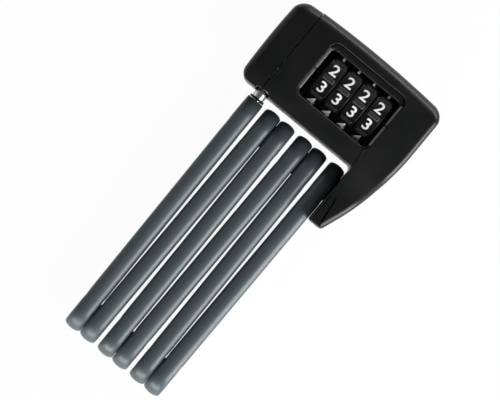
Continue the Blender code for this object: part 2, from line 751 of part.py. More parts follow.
def build_bezel():
    """The frame round the dials, with an index notch in each side."""
    name = "window_bezel"
    low, high = BEZEL_Z - BEZEL_THICKNESS, BEZEL_Z
    outer = rounded_box(BEZEL_LEFT, BEZEL_RIGHT, BEZEL_LOW, BEZEL_HIGH, BEZEL_CORNER, GAP)
    bezel = add_part(name, to_mesh(outline_bmesh(outer, low, high), name), HEAD_AXIS, "bezel_plastic")
    left, right = BEZEL_LEFT + BEZEL_BORDER, BEZEL_RIGHT - BEZEL_BORDER
    hole = outline_bmesh(
        rounded_box(left, right, WINDOW_LOW, WINDOW_HIGH, BEZEL_CORNER - BEZEL_BORDER),
        low - 1,
        high + 1,
    )
    combine(bezel, add_cutter("window", to_mesh(hole, "window")))
    notch = box_mesh(
        "index",
        (BEZEL_LEFT - 2, DIAL_Y - 0.4, BEZEL_Z - 0.7),
        (BEZEL_RIGHT + 2, DIAL_Y + 0.4, BEZEL_Z + 1),
    )
    combine(bezel, add_cutter("index", notch))
    return bezel


def build_screws():
    for index, (x, y) in enumerate(SCREW_PLACES):
        head = SCREW_HEAD_LENGTH
        profile = [
            (0, SCREW_LENGTH),
            (SCREW_RADIUS - 0.5, SCREW_LENGTH),
            (SCREW_RADIUS, SCREW_LENGTH - 1.2),
            (SCREW_RADIUS, head),
            (SCREW_HEAD_RADIUS, head),
            (SCREW_HEAD_RADIUS, 0.3),
            (SCREW_HEAD_RADIUS - 0.3, 0),
            (0.9, 0),
            (0.9, head * 0.7),
            (0, head * 0.7),
        ]
        name = f"cover_screw_{index + 1}"
        add_turned(name, profile, HEAD_AXIS, "zinc_steel", None, (x, y, 0.2))


# ---------------------------------------------------------------- inside the head


def build_lock_case():
    """A bent steel frame: a web below the dials and a wall at each end of the spindle."""
    name = "lock_case"
    outline = [
        (CASE_LEFT, CASE_WEB_Y),
        (CHEEK_X - GAP, CASE_WEB_Y),
        (CHEEK_X - GAP, CASE_WEB_Y + CASE_WALL),
        (CASE_RIGHT, CASE_WEB_Y + CASE_WALL),
        (CASE_RIGHT, DIAL_Y + DIAL_TIP - 1),
        (CASE_RIGHT - CASE_WALL, DIAL_Y + DIAL_TIP - 1),
        (CASE_RIGHT - CASE_WALL, CASE_WEB_Y + CASE_WALL),
        (CASE_LEFT + CASE_WALL, CASE_WEB_Y + CASE_WALL),
        (CASE_LEFT + CASE_WALL, DIAL_Y + DIAL_TIP - 1),
        (CASE_LEFT, DIAL_Y + DIAL_TIP - 1),
    ]
    solid = outline_bmesh(outline, FRONT_LOW, FRONT_LOW + CASE_HEIGHT)
    case = add_part(name, to_mesh(solid, name), HEAD_AXIS, "zinc_steel")
    bore = cross_rod("case_bore", SPINDLE_RADIUS + GAP, CASE_LEFT - 9, CASE_RIGHT + 9, DIAL_Y, DIAL_Z)
    combine(case, bore)


def build_hinge_cheek():
    name = "hinge_cheek"
    outline = stadium(TOP_PIVOT_Y, CASE_WEB_Y + CASE_WALL + 2, BAR_Z - FRONT_LOW)
    solid = outline_bmesh(outline, CHEEK_X, CHEEK_X + CORE_THICKNESS)
    cheek = add_part(name, to_mesh(solid, name, "YZ"), HEAD_AXIS, "bar_steel")
    bore = cross_rod(
        "cheek_bore", SHANK_RADIUS + GAP, CHEEK_X - 2, CHEEK_X + 9, TOP_PIVOT_Y, BAR_Z
    )
    combine(cheek, bore)


def build_socket_bush():
    """The steel sleeve that takes the bolt, cut open on the latch's side."""
    low = UNDERSIDE_Y + WALL + GAP
    length = BOLT_TIP_Y + 2.0 - low
    profile = ring_profile(SOCKET_RADIUS, SOCKET_OUTER, length)
    shift = (BOLT_X, low, BAR_Z)
    bush = add_turned("socket_bush", profile, HEAD_AXIS, "zinc_steel", ALONG_Y, shift, closed=True)
    half = LATCH_DEPTH / 2 + GAP
    gate = box_mesh(
        "latch_gate",
        (BOLT_X + 1, DIAL_Y - half, BAR_Z - LATCH_HEIGHT / 2 - GAP),
        (BOLT_X + SOCKET_OUTER + 2, DIAL_Y + half, BAR_Z + LATCH_HEIGHT / 2 + GAP),
    )
    combine(bush, add_cutter("latch_gate", gate))


def build_latch():
    """The latch plate and the spindle through the dials, which slide together along X."""
    origin = (LATCH_ARM_X, DIAL_Y, DIAL_Z)
    axis = add_axis("axis_latch", origin)
    low, high = BAR_Z - LATCH_HEIGHT / 2, BAR_Z + LATCH_HEIGHT / 2
    outline = [
        (LATCH_TIP_X, low),
        (LATCH_ARM_X, low),
        (LATCH_ARM_X, DIAL_Z + SPINDLE_RADIUS + 1),
        (LATCH_ARM_X - LATCH_ARM, DIAL_Z + SPINDLE_RADIUS + 1),
        (LATCH_ARM_X - LATCH_ARM, high),
        (LATCH_TIP_X, high),
    ]
    solid = outline_bmesh(outline, -DIAL_Y - LATCH_DEPTH / 2, -DIAL_Y + LATCH_DEPTH / 2)
    add_part("latch_bar", to_mesh(solid, "latch_bar", "XZ", origin), axis, "zinc_steel")
    spindle_end = CASE_RIGHT + 1.2
    start = LATCH_ARM_X + GAP
    length = spindle_end - start
    profile = [
        (0, length),
        (SPINDLE_RADIUS - 0.5, length),
        (SPINDLE_RADIUS, length - 0.5),
        (SPINDLE_RADIUS, 0),
        (0, 0),
    ]
    shift = Vector((start, DIAL_Y, DIAL_Z)) - Vector(origin)
    spindle = add_turned("code_spindle", profile, axis, "brass", ALONG_X, shift)
    for index in range(DIAL_COUNT - 1):
        x = (DIAL_X[index] + DIAL_X[index + 1]) / 2 + LATCH_TRAVEL / 2
        low = (x - 0.5, DIAL_Y - GATE_WIDTH / 2 + GAP, DIAL_Z)
        high = (x + 0.5, DIAL_Y + GATE_WIDTH / 2 - GAP, DIAL_Z + TANG_HEIGHT)
        tang = add_cutter(f"tang_{index}", box_mesh("tang", low, high))
        combine(spindle, tang, "UNION")


def build_dials():
    for index, x in enumerate(DIAL_X):
        origin = (x, DIAL_Y, DIAL_Z)
        axis = add_axis(f"axis_dial_{index + 1}", origin)
        add_dial(index, x, axis)
        half = SLEEVE_LENGTH / 2
        profile = ring_profile(SPINDLE_RADIUS + GAP, SLEEVE_RADIUS, SLEEVE_LENGTH)
        name = f"dial_sleeve_{index + 1}"
        sleeve = add_turned(name, profile, axis, "brass", ALONG_X, (-half, 0, 0), closed=True)
        gate = box_mesh(
            "gate",
            (x - 9, DIAL_Y - GATE_WIDTH / 2, DIAL_Z),
            (x + 9, DIAL_Y + GATE_WIDTH / 2, DIAL_Z + TANG_HEIGHT + GAP),
        )
        combine(sleeve, add_cutter(f"gate_{index}", gate))


def add_dial(index, x, axis):
    """A drum with ten raised ribs between its ten faces."""
    name = f"dial_{index + 1}"
    half = DIAL_WIDTH / 2
    profile = [
        (DIAL_RADIUS - DIAL_EDGE, DIAL_WIDTH),
        (DIAL_RADIUS, DIAL_WIDTH - DIAL_EDGE),
        (DIAL_RADIUS, DIAL_EDGE),
        (DIAL_RADIUS - DIAL_EDGE, 0),
        (SLEEVE_RADIUS + GAP, 0),
        (SLEEVE_RADIUS + GAP, DIAL_WIDTH),
    ]
    dial = add_turned(name, profile, axis, "dial_plastic", ALONG_X, (-half, 0, 0), closed=True)
    dial.modifiers["turn"].steps = 3 * DIAL_FACES
    dial.modifiers["turn"].render_steps = 3 * DIAL_FACES
    combine(dial, add_cutter(f"ribs_{index}", rib_mesh(), None, (x, DIAL_Y, DIAL_Z)), "UNION")


def rib_mesh():
    """Ten blocks round the X axis, one between each two faces."""
    solid = bmesh.new()
    for face in range(DIAL_FACES):
        made = bmesh.ops.create_cube(solid, size=1.0)
        low, high = DIAL_RADIUS - 1.0, DIAL_TIP
        stretch = Matrix.Diagonal((RIB_LENGTH, RIB_WIDTH, high - low, 1))
        lift = Matrix.Translation((0, 0, (low + high) / 2))
        turn = Matrix.Rotation(2 * math.pi * face / DIAL_FACES, 4, "X")
        bmesh.ops.transform(solid, matrix=turn @ lift @ stretch, verts=made["verts"])
    return to_mesh(solid, "ribs")


def build_detent_spring():
    """A leaf comb on the top wall, whose fingers bear on the dials' ribs."""
    name = "detent_spring"
    seat = TOP_Y - WALL - GAP
    crest = DIAL_Y + DIAL_TIP + GAP
    thick = DETENT_THICKNESS
    outline = [
        (seat - thick, DIAL_Z - 11),
        (seat, DIAL_Z - 11),
        (seat, DIAL_Z - 6.5),
        (crest + thick, DIAL_Z - 0.2),
        (crest + thick + 0.9, DIAL_Z + 3.5),
        (crest + 0.9, DIAL_Z + 3.5),
        (crest, DIAL_Z - 0.2),
        (seat - thick, DIAL_Z - 6.8),
    ]
    left, right = DIAL_X[0] - DETENT_FINGER / 2, DIAL_X[-1] + DETENT_FINGER / 2
    solid = outline_bmesh(outline, left, right)
    spring = add_part(name, to_mesh(solid, name, "YZ"), HEAD_AXIS, "spring_steel")
    for index in range(DIAL_COUNT - 1):
        low = (DIAL_X[index] + DETENT_FINGER / 2, DIAL_Y, DIAL_Z - 7.0)
        high = (DIAL_X[index + 1] - DETENT_FINGER / 2, TOP_Y, DIAL_Z + 9)
        combine(spring, add_cutter(f"finger_gap_{index}", box_mesh("finger_gap", low, high)))


def build_latch_spring():
    """A short coil round the spindle, between the case and the latch's arm."""
    name = "latch_spring"
    curve = bpy.data.curves.new(name, "CURVE")
    curve.dimensions = "3D"
    curve.bevel_depth = SPRING_WIRE * MM
    curve.bevel_resolution = 1
    curve.use_fill_caps = True
    per_turn = 12
    count = SPRING_TURNS * per_turn
    radius = SPINDLE_RADIUS + GAP + SPRING_WIRE
    spline = curve.splines.new("POLY")
    spline.points.add(count)
    start = LATCH_ARM_X + GAP + SPRING_WIRE
    length = SPRING_LENGTH - 2 * SPRING_WIRE
    for step, point in enumerate(spline.points):
        angle = 2 * math.pi * step / per_turn
        x = start + length * step / count
        y = DIAL_Y + radius * math.cos(angle)
        z = DIAL_Z + radius * math.sin(angle)
        point.co = (x * MM, y * MM, z * MM, 1)
    spring = bpy.data.objects.new(name, curve)
    PARTS.objects.link(spring)
    spring.parent = HEAD_AXIS
    curve.materials.append(new_material(name, "spring_steel"))


def build_reset_lever():
    """A small slider in the back cover for setting a new code."""
    origin = (RESET_X, RESET_Y, 0)
    axis = add_axis("axis_reset", origin)
    name = "code_reset_slider"
    knob = rounded_box(
        RESET_X - RESET_LENGTH / 2,
        RESET_X + RESET_LENGTH / 2,
        RESET_Y - RESET_WIDTH / 2,
        RESET_Y + RESET_WIDTH / 2,
        0.7,
    )
    solid = outline_bmesh(knob, 0.4, FRONT_LOW + 0.6)
    lever = add_part(name, to_mesh(solid, name, offset=origin), axis, "bezel_plastic")
    low = (RESET_X - RESET_LENGTH / 2 - 1.5, RESET_Y - RESET_WIDTH / 2 - 0.6, FRONT_LOW)
    high = (RESET_X + RESET_LENGTH / 2 + 1.5, RESET_Y + RESET_WIDTH / 2 + 0.6, FRONT_LOW + 1.4)
    combine(lever, add_cutter("reset_plate", box_mesh("reset_plate", low, high)), "UNION")


def build_head():
    build_front_cover()
    build_back_cover()
    build_end_cap()
    build_bezel()
    build_screws()
    build_lock_case()
    build_hinge_cheek()
    build_socket_bush()
    build_detent_spring()
    build_latch_spring()
    low = BAR_X[-1] - HALF_CORE
    add_joint_hardware(
        "hook", low, CHEEK_X + CORE_THICKNESS, TOP_PIVOT_Y, HEAD_AXIS, (0, 0, 0)
    )


clear_scene()
PARTS = new_collection("folding_bike_lock")
CUTTERS = new_collection("cutters")
HEAD_AXIS = add_axis("head_origin", (0, 0, 0))
build_head()
build_dials()
build_latch()
build_reset_lever()
build_bars()
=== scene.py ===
"""The finish of a folding bike lock: soft-touch head, number dials, rubber-covered bars, chromed bolt.

New pieces are numpy surfaces in millimetres, placed from the frame's own boxes and joints.
"""

import json
import math

import bmesh
import bpy
import numpy as np
from bpy.props import FloatProperty, FloatVectorProperty, PointerProperty
from mathutils import Matrix, Vector


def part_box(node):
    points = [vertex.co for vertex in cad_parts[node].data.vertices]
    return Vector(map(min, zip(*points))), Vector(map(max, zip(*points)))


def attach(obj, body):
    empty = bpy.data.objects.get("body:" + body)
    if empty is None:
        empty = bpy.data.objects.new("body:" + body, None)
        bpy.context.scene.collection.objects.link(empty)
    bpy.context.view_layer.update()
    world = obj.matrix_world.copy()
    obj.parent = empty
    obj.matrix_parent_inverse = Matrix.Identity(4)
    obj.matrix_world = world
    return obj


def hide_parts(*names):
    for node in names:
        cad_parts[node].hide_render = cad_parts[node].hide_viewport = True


bl_info = {
    "name": "Folding lock finish",
    "version": (1, 0, 0),
    "blender": (4, 5, 0),
    "location": "View3D > Sidebar > Lock",
    "description": "Builds the visible surfaces and materials of a folding combination lock",
    "category": "Object",
}

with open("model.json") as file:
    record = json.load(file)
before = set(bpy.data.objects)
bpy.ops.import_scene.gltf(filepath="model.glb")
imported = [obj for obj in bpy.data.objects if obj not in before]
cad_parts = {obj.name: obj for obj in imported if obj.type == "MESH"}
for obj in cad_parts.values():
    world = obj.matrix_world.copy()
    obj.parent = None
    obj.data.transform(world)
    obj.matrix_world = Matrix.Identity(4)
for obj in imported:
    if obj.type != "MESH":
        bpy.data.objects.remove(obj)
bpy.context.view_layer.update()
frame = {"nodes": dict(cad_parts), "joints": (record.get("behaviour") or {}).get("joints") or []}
MM = 0.001


def box_of(node):
    """A frame node's lowest and highest corners, in millimetres."""
    low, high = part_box(node)
    return np.array(low) / MM, np.array(high) / MM


def joint_place(name):
    """A hinge's place, in millimetres."""
    found = [joint for joint in frame["joints"] if joint["name"] == name]
    return np.array(found[0]["pos_m"]) / MM


# ---------------------------------------------------------------- places read from the frame

COVER_LOW, COVER_HIGH = box_of("head_front_cover")
CAP_LOW, CAP_HIGH = box_of("head_end_cap")
BEZEL_LOW, BEZEL_HIGH = box_of("window_bezel")
BOLT_LOW, BOLT_HIGH = box_of("locking_bolt")
BAR_COUNT = 6
DIAL_COUNT = 4
BARS = [f"bar_{number}_cover" for number in range(1, BAR_COUNT + 1)]
BAR_CORES = [box_of(f"bar_{number}_core") for number in range(1, BAR_COUNT + 1)]
BAR_X = [(low[0] + high[0]) / 2 for low, high in BAR_CORES]
TOP_PIVOT = joint_place("bar_6_fold")
LOW_PIVOT = joint_place("bar_5_fold")
BOLT_X = (BOLT_LOW[0] + BOLT_HIGH[0]) / 2
SEAM = (COVER_LOW[0] + CAP_HIGH[0]) / 2
UNDERSIDE = CAP_LOW[1]
TOP = COVER_HIGH[1]
HEAD_FRONT = COVER_HIGH[2]
LEFT, RIGHT = CAP_LOW[0], COVER_HIGH[0]
GAP = 0.3
DRUM_RADIUS = 15.8
BOLT_RADIUS = 3.25
COLLAR_RADIUS = 3.9
SHELL_WALL = 2.4
HOOK_FALL = 4.5
HALF_SEAM = 0.2
HOOK_FACE = BAR_X[-1] + 5.05


# ---------------------------------------------------------------- shader expressions


class Signal:
    """A shader socket that takes part in Python arithmetic by adding Math nodes."""

    def __init__(self, finish, socket):
        self.finish = finish
        self.socket = socket

    def maths(self, operation, *values):
        links = {index: value for index, value in enumerate(values)}
        return self.finish.node("ShaderNodeMath", {"operation": operation}, links)

    def __add__(self, other):
        return self.maths("ADD", self, other)

    __radd__ = __add__

    def __sub__(self, other):
        return self.maths("SUBTRACT", self, other)

    def __rsub__(self, other):
        return self.maths("SUBTRACT", other, self)

    def __mul__(self, other):
        return self.maths("MULTIPLY", self, other)

    __rmul__ = __mul__

    def __pow__(self, other):
        return self.maths("POWER", self, other)

    def between(self, low, high, to_low=0.0, to_high=1.0):
        """A smooth step from to_low to to_high as the signal goes from low to high."""
        values = {"Value": self, "From Min": low, "From Max": high}
        values.update({"To Min": to_low, "To Max": to_high})
        return self.finish.node("ShaderNodeMapRange", {"interpolation_type": "SMOOTHSTEP"}, values)


class Finish:
    """One node material, built from expressions."""

    def __init__(self, name, constants):
        self.material = bpy.data.materials.new(name)
        self.material.use_nodes = True
        self.tree = self.material.node_tree
        self.tree.nodes.clear()
        self.shader = self.tree.nodes.new("ShaderNodeBsdfPrincipled")
        output = self.tree.nodes.new("ShaderNodeOutputMaterial")
        self.tree.links.new(self.shader.outputs[0], output.inputs["Surface"])
        self.feed(self.shader, constants)
        coordinates = self.tree.nodes.new("ShaderNodeTexCoord")
        self.place = Signal(self, coordinates.outputs["Object"])

    def feed(self, node, values):
        for key, value in values.items():
            if isinstance(value, Signal):
                self.tree.links.new(value.socket, node.inputs[key])
            else:
                node.inputs[key].default_value = value

    def node(self, kind, settings, values, output=0):
        """Any node: its settings, then its sockets' values or links."""
        node = self.tree.nodes.new(kind)
        for key, value in settings.items():
            setattr(node, key, value)
        self.feed(node, values)
        return Signal(self, node.outputs[output])

    def stretched(self, scale):
        """The object's own coordinates, scaled by (x, y, z) per metre."""
        values = {"Vector": self.place, "Scale": scale}
        return self.node("ShaderNodeMapping", {"vector_type": "POINT"}, values)

    def noise(self, scale, detail=3.0, stretch=(1, 1, 1), rough=0.55):
        source = self.stretched(stretch) if stretch != (1, 1, 1) else self.place
        values = {"Vector": source, "Scale": scale, "Detail": detail, "Roughness": rough}
        return self.node("ShaderNodeTexNoise", {}, values)

    def axis(self, letter):
        return self.node("ShaderNodeSeparateXYZ", {}, {0: self.place}, letter)

    def blend(self, share, first, second):
        """A colour between two, by a share from 0 to 1."""
        values = {0: share, 6: first, 7: second}
        return self.node("ShaderNodeMix", {"data_type": "RGBA"}, values, 2)

    def bump(self, height, strength, distance):
        values = {"Height": height, "Strength": strength, "Distance": distance}
        self.feed(self.shader, {"Normal": self.node("ShaderNodeBump", {}, values)})

    def paint(self, **values):
        names = {key.replace("_", " "): value for key, value in values.items()}
        self.feed(self.shader, names)
        return self.material


def opaque(colour, factor=1.0):
    return (colour[0] * factor, colour[1] * factor, colour[2] * factor, 1.0)


# ---------------------------------------------------------------- surfaces in millimetres


def grid_faces(rows, columns, wrap_rows):
    """Quads of a grid whose columns close on themselves, and whose rows may too."""
    row = np.arange(rows if wrap_rows else rows - 1)[:, None]
    column = np.arange(columns)[None, :]
    next_row = (row + 1) % rows
    next_column = (column + 1) % columns
    corners = [
        row * columns + column,
        row * columns + next_column,
        next_row * columns + next_column,
        next_row * columns + column,
    ]
    return np.stack([np.broadcast_to(c, (len(row), columns)) for c in corners], -1).reshape(-1, 4)


def make_piece(name, points, faces, material, sharp=35.0):
    """A mesh object from millimetre points: doubles merged, open rims capped, normals out."""
    mesh = bpy.data.meshes.new(name)
    mesh.from_pydata((np.asarray(points) * MM).tolist(), [], faces.tolist())
    solid = bmesh.new()
    solid.from_mesh(mesh)
    bmesh.ops.remove_doubles(solid, verts=solid.verts, dist=0.000002)
    bmesh.ops.dissolve_degenerate(solid, edges=solid.edges, dist=0.0000005)
    rims = [edge for edge in solid.edges if edge.is_boundary]
    if rims:
        bmesh.ops.holes_fill(solid, edges=rims, sides=0)
    bmesh.ops.recalc_face_normals(solid, faces=solid.faces)
    solid.to_mesh(mesh)
    solid.free()
    mesh.materials.append(material)
    mesh.shade_smooth()
    mesh.set_sharp_from_angle(angle=math.radians(sharp))
    piece = bpy.data.objects.new(name, mesh)
    bpy.context.scene.collection.objects.link(piece)
    return piece


def skin(name, sheets, material, wrap_rows=False, sharp=35.0):
    """A piece from an array of rows x columns x 3, whose columns go round."""
    rows, columns = sheets.shape[:2]
    return make_piece(name, sheets.reshape(-1, 3), grid_faces(rows, columns, wrap_rows), material, sharp)


def carve(piece, tools):
    """Cut a piece with other meshes, which are then removed, and keep the result as its mesh."""
    for tool in tools:
        cut = piece.modifiers.new("cut", "BOOLEAN")
        cut.operation = "DIFFERENCE"
        cut.object = tool
        cut.solver = "EXACT"
    bpy.context.view_layer.update()
    graph = bpy.context.evaluated_depsgraph_get()
    mesh = bpy.data.meshes.new_from_object(piece.evaluated_get(graph))
    piece.modifiers.clear()
    piece.data = mesh
    mesh.shade_smooth()
    mesh.set_sharp_from_angle(angle=math.radians(35))
    for tool in tools:
        bpy.data.objects.remove(tool)
    return piece


def filleted(corners, per_arc=12, per_side=20):
    """Anticlockwise rounded outline: points, outward normals, and each point's edge radius.

    corners are (x, y, corner radius, edge radius of the side that follows). The point at angle a
    of an arc is centre + radius * outward(a); sides are straight between arcs.
    """
    points, normals, edges, marks = [], [], [], []
    count = len(corners)
    for index in range(count):
        before_corner = np.array(corners[index - 1][:2], float)
        here = np.array(corners[index][:2], float)
        after_corner = np.array(corners[(index + 1) % count][:2], float)
        radius = corners[index][2]
        edge_in, edge_out = corners[index - 1][3], corners[index][3]
        before = (here - before_corner) / np.linalg.norm(here - before_corner)
        after = (after_corner - here) / np.linalg.norm(after_corner - here)
        cross = before[0] * after[1] - before[1] * after[0]
        turn = math.atan2(cross, float(before @ after))
        side = 1 if turn > 0 else -1
        start = here - before * radius * math.tan(abs(turn) / 2)
        centre = start + side * radius * np.array([-before[1], before[0]])
        angle = np.linspace(0, turn, per_arc + 1)
        along_x = before[0] * np.cos(angle) - before[1] * np.sin(angle)
        along_y = before[0] * np.sin(angle) + before[1] * np.cos(angle)
        outward = np.stack([along_y, -along_x], 1)
        marks.append(len(points) + per_arc // 2)
        points.extend(centre + side * radius * outward)
        normals.extend(outward)
        share = (1 - np.cos(np.linspace(0, math.pi, per_arc + 1))) / 2
        edges.extend(edge_in + (edge_out - edge_in) * share)
        points.extend([None] * per_side)
        normals.extend([outward[-1]] * per_side)
        edges.extend([edge_out] * per_side)
    total = len(points)
    for index in range(total):
        if points[index] is None:
            start = index - 1
            end = index
            while points[end % total] is None:
                end += 1
            first, last = points[start], points[end % total]
            for step in range(index, end):
                points[step] = first + (last - first) * (step - start) / (end - start)
    return np.array(points), np.array(normals), np.array(edges), marks


def ramp(value, low, high):
    """Smooth step from 0 at low to 1 at high."""
    share = np.clip((value - low) / (high - low), 0, 1)
    return share * share * (3 - 2 * share)


def lift(outline, height):
    """An outline of rows x 2 at a height, or heights, as rows x 3."""
    heights = np.broadcast_to(height, outline.shape[0])
    return np.concatenate([outline, heights[:, None]], 1)


def prism(name, outline, low, high, plane="XY"):
    """A closed cutter between two heights over an outline; plane YZ puts its height along X."""
    middle = outline.mean(0)
    stack = np.stack(
        [
            lift(np.repeat(middle[None], len(outline), 0), low),
            lift(outline, low),
            lift(outline, high),
            lift(np.repeat(middle[None], len(outline), 0), high),
        ]
    )
    if plane == "YZ":
        stack = stack[:, :, [2, 0, 1]]
    return skin(name, stack, black_finish())


def turned(name, profile, place, axis, material, segments=64, closed=False, sharp=35.0):
    """A profile of (radius, height) turned about an axis through place.

    The point is place + height along the axis + radius * (cos a, sin a) across it.
    """
    profile = np.asarray(profile, float)
    angle = np.linspace(0, 2 * math.pi, segments, endpoint=False)
    radius = profile[:, 0][:, None]
    height = np.broadcast_to(profile[:, 1][:, None], (len(profile), segments))
    across = radius * np.cos(angle), radius * np.sin(angle)
    order = {"X": (height, *across), "Y": (across[1], height, across[0]), "Z": (*across, height)}
    sheets = np.stack(order[axis], -1) + np.asarray(place)
    return skin(name, sheets, material, closed, sharp)


def rod(name, radius, low, high, place, axis):
    """A cutter cylinder."""
    profile = [(0, high), (radius, high), (radius, low), (0, low)]
    return turned(name, profile, place, axis, black_finish(), 48)


def block(name, low, high):
    """A cutter box."""
    corners = np.array([(low[0], low[1]), (high[0], low[1]), (high[0], high[1]), (low[0], high[1])])
    return prism(name, corners, low[2], high[2])


def black_finish():
    """A throwaway material for cutters."""
    return bpy.data.materials.get("cutter") or bpy.data.materials.new("cutter")


# ---------------------------------------------------------------- settings


class HeadSettings(bpy.types.PropertyGroup):
    """Shape and colour of the lock's head."""

    top_edge: FloatProperty(name="Top edge", description="Radius of the upper front edge, mm", default=5.0)
    side_edge: FloatProperty(
        name="Side edge", description="Radius of the right front edge, mm", default=2.6
    )
    lower_edge: FloatProperty(
        name="Lower edge", description="Radius of the lower front edge, mm", default=0.5
    )
    left_edge: FloatProperty(
        name="Left edge", description="Radius of the left front edge, mm", default=3.6
    )
    bow: FloatProperty(name="Bow", description="How far the top falls to its corners, mm", default=1.8)
    hook_edge: FloatProperty(name="Hook edge", description="Edge radius inside the hook, mm", default=1.2)
    dome: FloatProperty(name="Dome", description="How far the front falls to its sides, mm", default=0.9)
    ledge: FloatProperty(
        name="Ledge", description="Step where the hook overlaps the panel, mm", default=0.3
    )
    colour: FloatVectorProperty(
        name="Head colour", subtype="COLOR", size=3, default=(0.0052, 0.0062, 0.0054)
    )
    strip_colour: FloatVectorProperty(
        name="Index strip colour", subtype="COLOR", size=3, default=(0.12, 0.124, 0.12)
    )


class DialSettings(bpy.types.PropertyGroup):
    """Shape and colour of the number dials."""

    digit_height: FloatProperty(name="Digit height", description="In mm", default=5.7)
    digit_width: FloatProperty(name="Digit width", description="Of the widest digit, mm", default=4.2)
    colour: FloatVectorProperty(
        name="Dial colour", subtype="COLOR", size=3, default=(0.0035, 0.0035, 0.004)
    )
    digit_colour: FloatVectorProperty(
        name="Digit colour", subtype="COLOR", size=3, default=(0.85, 0.86, 0.86)
    )


class BarSettings(bpy.types.PropertyGroup):
    """Shape and colour of the bars' covers."""

    edge_inset: FloatProperty(name="Edge inset", description="Depth of the long rims, mm", default=3.3)
    end_inset: FloatProperty(name="End inset", description="Depth of the end rims, mm", default=1.9)
    roundness: FloatProperty(name="Roundness", description="Rim exponent, 2 is a circle", default=2.05)
    colour: FloatVectorProperty(
        name="Cover colour", subtype="COLOR", size=3, default=(0.058, 0.074, 0.082)
    )


class StageSettings(bpy.types.PropertyGroup):
    """Light, floor and camera."""

    view_width: FloatProperty(name="View width", description="Across the picture, mm", default=235.3)
    distance: FloatProperty(name="Camera distance", description="In mm", default=1600.0)
    roll: FloatProperty(name="Camera roll", subtype="ANGLE", default=math.radians(39.6))
    key_power: FloatProperty(name="Key light", description="In watts", default=11.5)


# ---------------------------------------------------------------- materials


def head_finish():
    settings = bpy.context.scene.lock_head
    finish = Finish("head_soft_touch", {"Specular IOR Level": 0.36})
    grain = finish.noise(5200.0, 2.0)
    cloud = finish.noise(55.0, 4.0)
    base = finish.blend(cloud, opaque(settings.colour, 0.85), opaque(settings.colour, 1.2))
    finish.bump(grain, 0.16, 0.00006)
    roughness = cloud.between(0.3, 0.7, 0.31, 0.38)
    return finish.paint(Base_Color=base, Roughness=roughness)


def strip_finish():
    settings = bpy.context.scene.lock_head
    finish = Finish("index_strip", {"Specular IOR Level": 0.5})
    cloud = finish.noise(300.0, 3.0)
    colour = settings.strip_colour
    base = finish.blend(cloud, opaque(colour, 0.8), opaque(colour, 1.2))
    finish.bump(finish.noise(4000.0, 2.0), 0.15, 0.00004)
    return finish.paint(Base_Color=base, Roughness=cloud.between(0.3, 0.7, 0.34, 0.46))


def bezel_finish():
    finish = Finish("bezel_plastic", {"Specular IOR Level": 0.3})
    cloud = finish.noise(120.0, 3.0)
    base = finish.blend(cloud, (0.0032, 0.0036, 0.0033, 1), (0.0048, 0.0054, 0.005, 1))
    finish.bump(finish.noise(6000.0, 2.0), 0.12, 0.00004)
    return finish.paint(Base_Color=base, Roughness=cloud.between(0.3, 0.7, 0.36, 0.46))


def dial_finish():
    colour = bpy.context.scene.lock_dials.colour
    finish = Finish("dial_plastic", {"Specular IOR Level": 0.3})
    cloud = finish.noise(180.0, 3.0)
    base = finish.blend(cloud, opaque(colour, 0.8), opaque(colour, 1.25))
    centre = joint_place("dial_1_turn") * MM
    up, out = finish.axis("Y") - centre[1], finish.axis("Z") - centre[2]
    # The ribs' tops are painted a lighter grey: a painted highlight standing in for the sheen they catch
    # from the low lamps.
    rib_painted_sheen = ((up * up + out * out) ** 0.5).between(0.01595, 0.0161)
    base = finish.blend(rib_painted_sheen, base, (0.026, 0.026, 0.0265, 1))
    finish.bump(finish.noise(4500.0, 2.0), 0.12, 0.00004)
    return finish.paint(Base_Color=base, Roughness=cloud.between(0.3, 0.7, 0.3, 0.42))


def digit_finish():
    colour = bpy.context.scene.lock_dials.digit_colour
    finish = Finish("digit_paint", {"Specular IOR Level": 0.4})
    cloud = finish.noise(900.0, 3.0)
    base = finish.blend(cloud, opaque(colour, 0.94), opaque(colour, 1.0))
    return finish.paint(Base_Color=base, Roughness=cloud.between(0.3, 0.7, 0.4, 0.5))


def rubber_finish():
    settings = bpy.context.scene.lock_bars
    finish = Finish("cover_rubber", {"Specular IOR Level": 0.45})
    cloud = finish.noise(60.0, 4.0, (1, 0.35, 1))
    speck = finish.noise(1400.0, 2.0)
    colour = settings.colour
    base = finish.blend(cloud, opaque(colour, 0.86), opaque(colour, 1.14))
    base = finish.blend(speck.between(0.35, 0.75, 0.0, 0.2), base, opaque(colour, 1.5))
    finish.bump(finish.noise(3600.0, 2.0) + 0.5 * speck, 0.14, 0.00006)
    return finish.paint(Base_Color=base, Roughness=cloud.between(0.3, 0.7, 0.34, 0.42))


def chrome_finish():
    """Bright chrome with drawn lines along the bolt, and painted reflection: light and dark streaks in its
    colour stand in for reflected highlights.
    """
    finish = Finish("bolt_chrome", {"Metallic": 1.0})
    streaks_and_painted_reflection = finish.noise(1300.0, 2.0, (1, 0.01, 1), 0.6)
    # The colour runs in light and dark streaks along the bolt: painted reflection, standing in for the
    # highlights a chrome cylinder shows. The same streaks also vary the roughness.
    base = finish.blend(streaks_and_painted_reflection.between(0.38, 0.62), (0.4, 0.4, 0.41, 1), (0.98, 0.98, 0.98, 1))
    finish.bump(finish.noise(5000.0, 2.0, (1, 0.01, 1)), 0.1, 0.00002)
    return finish.paint(Base_Color=base, Roughness=streaks_and_painted_reflection.between(0.3, 0.7, 0.42, 0.3))


def metal_finish(name, colour, low, high, stretch=(1, 1, 1), depth=0.1):
    """Metal with fine turning or rolling lines along the stretched axis."""
    finish = Finish(name, {"Metallic": 1.0})
    lines = finish.noise(900.0, 4.0, stretch)
    cloud = finish.noise(120.0, 3.0)
    base = finish.blend(cloud, opaque(colour, 0.88), opaque(colour, 1.0))
    finish.bump(lines, depth, 0.00003)
    return finish.paint(Base_Color=base, Roughness=cloud.between(0.3, 0.7, low, high))


# ---------------------------------------------------------------- head


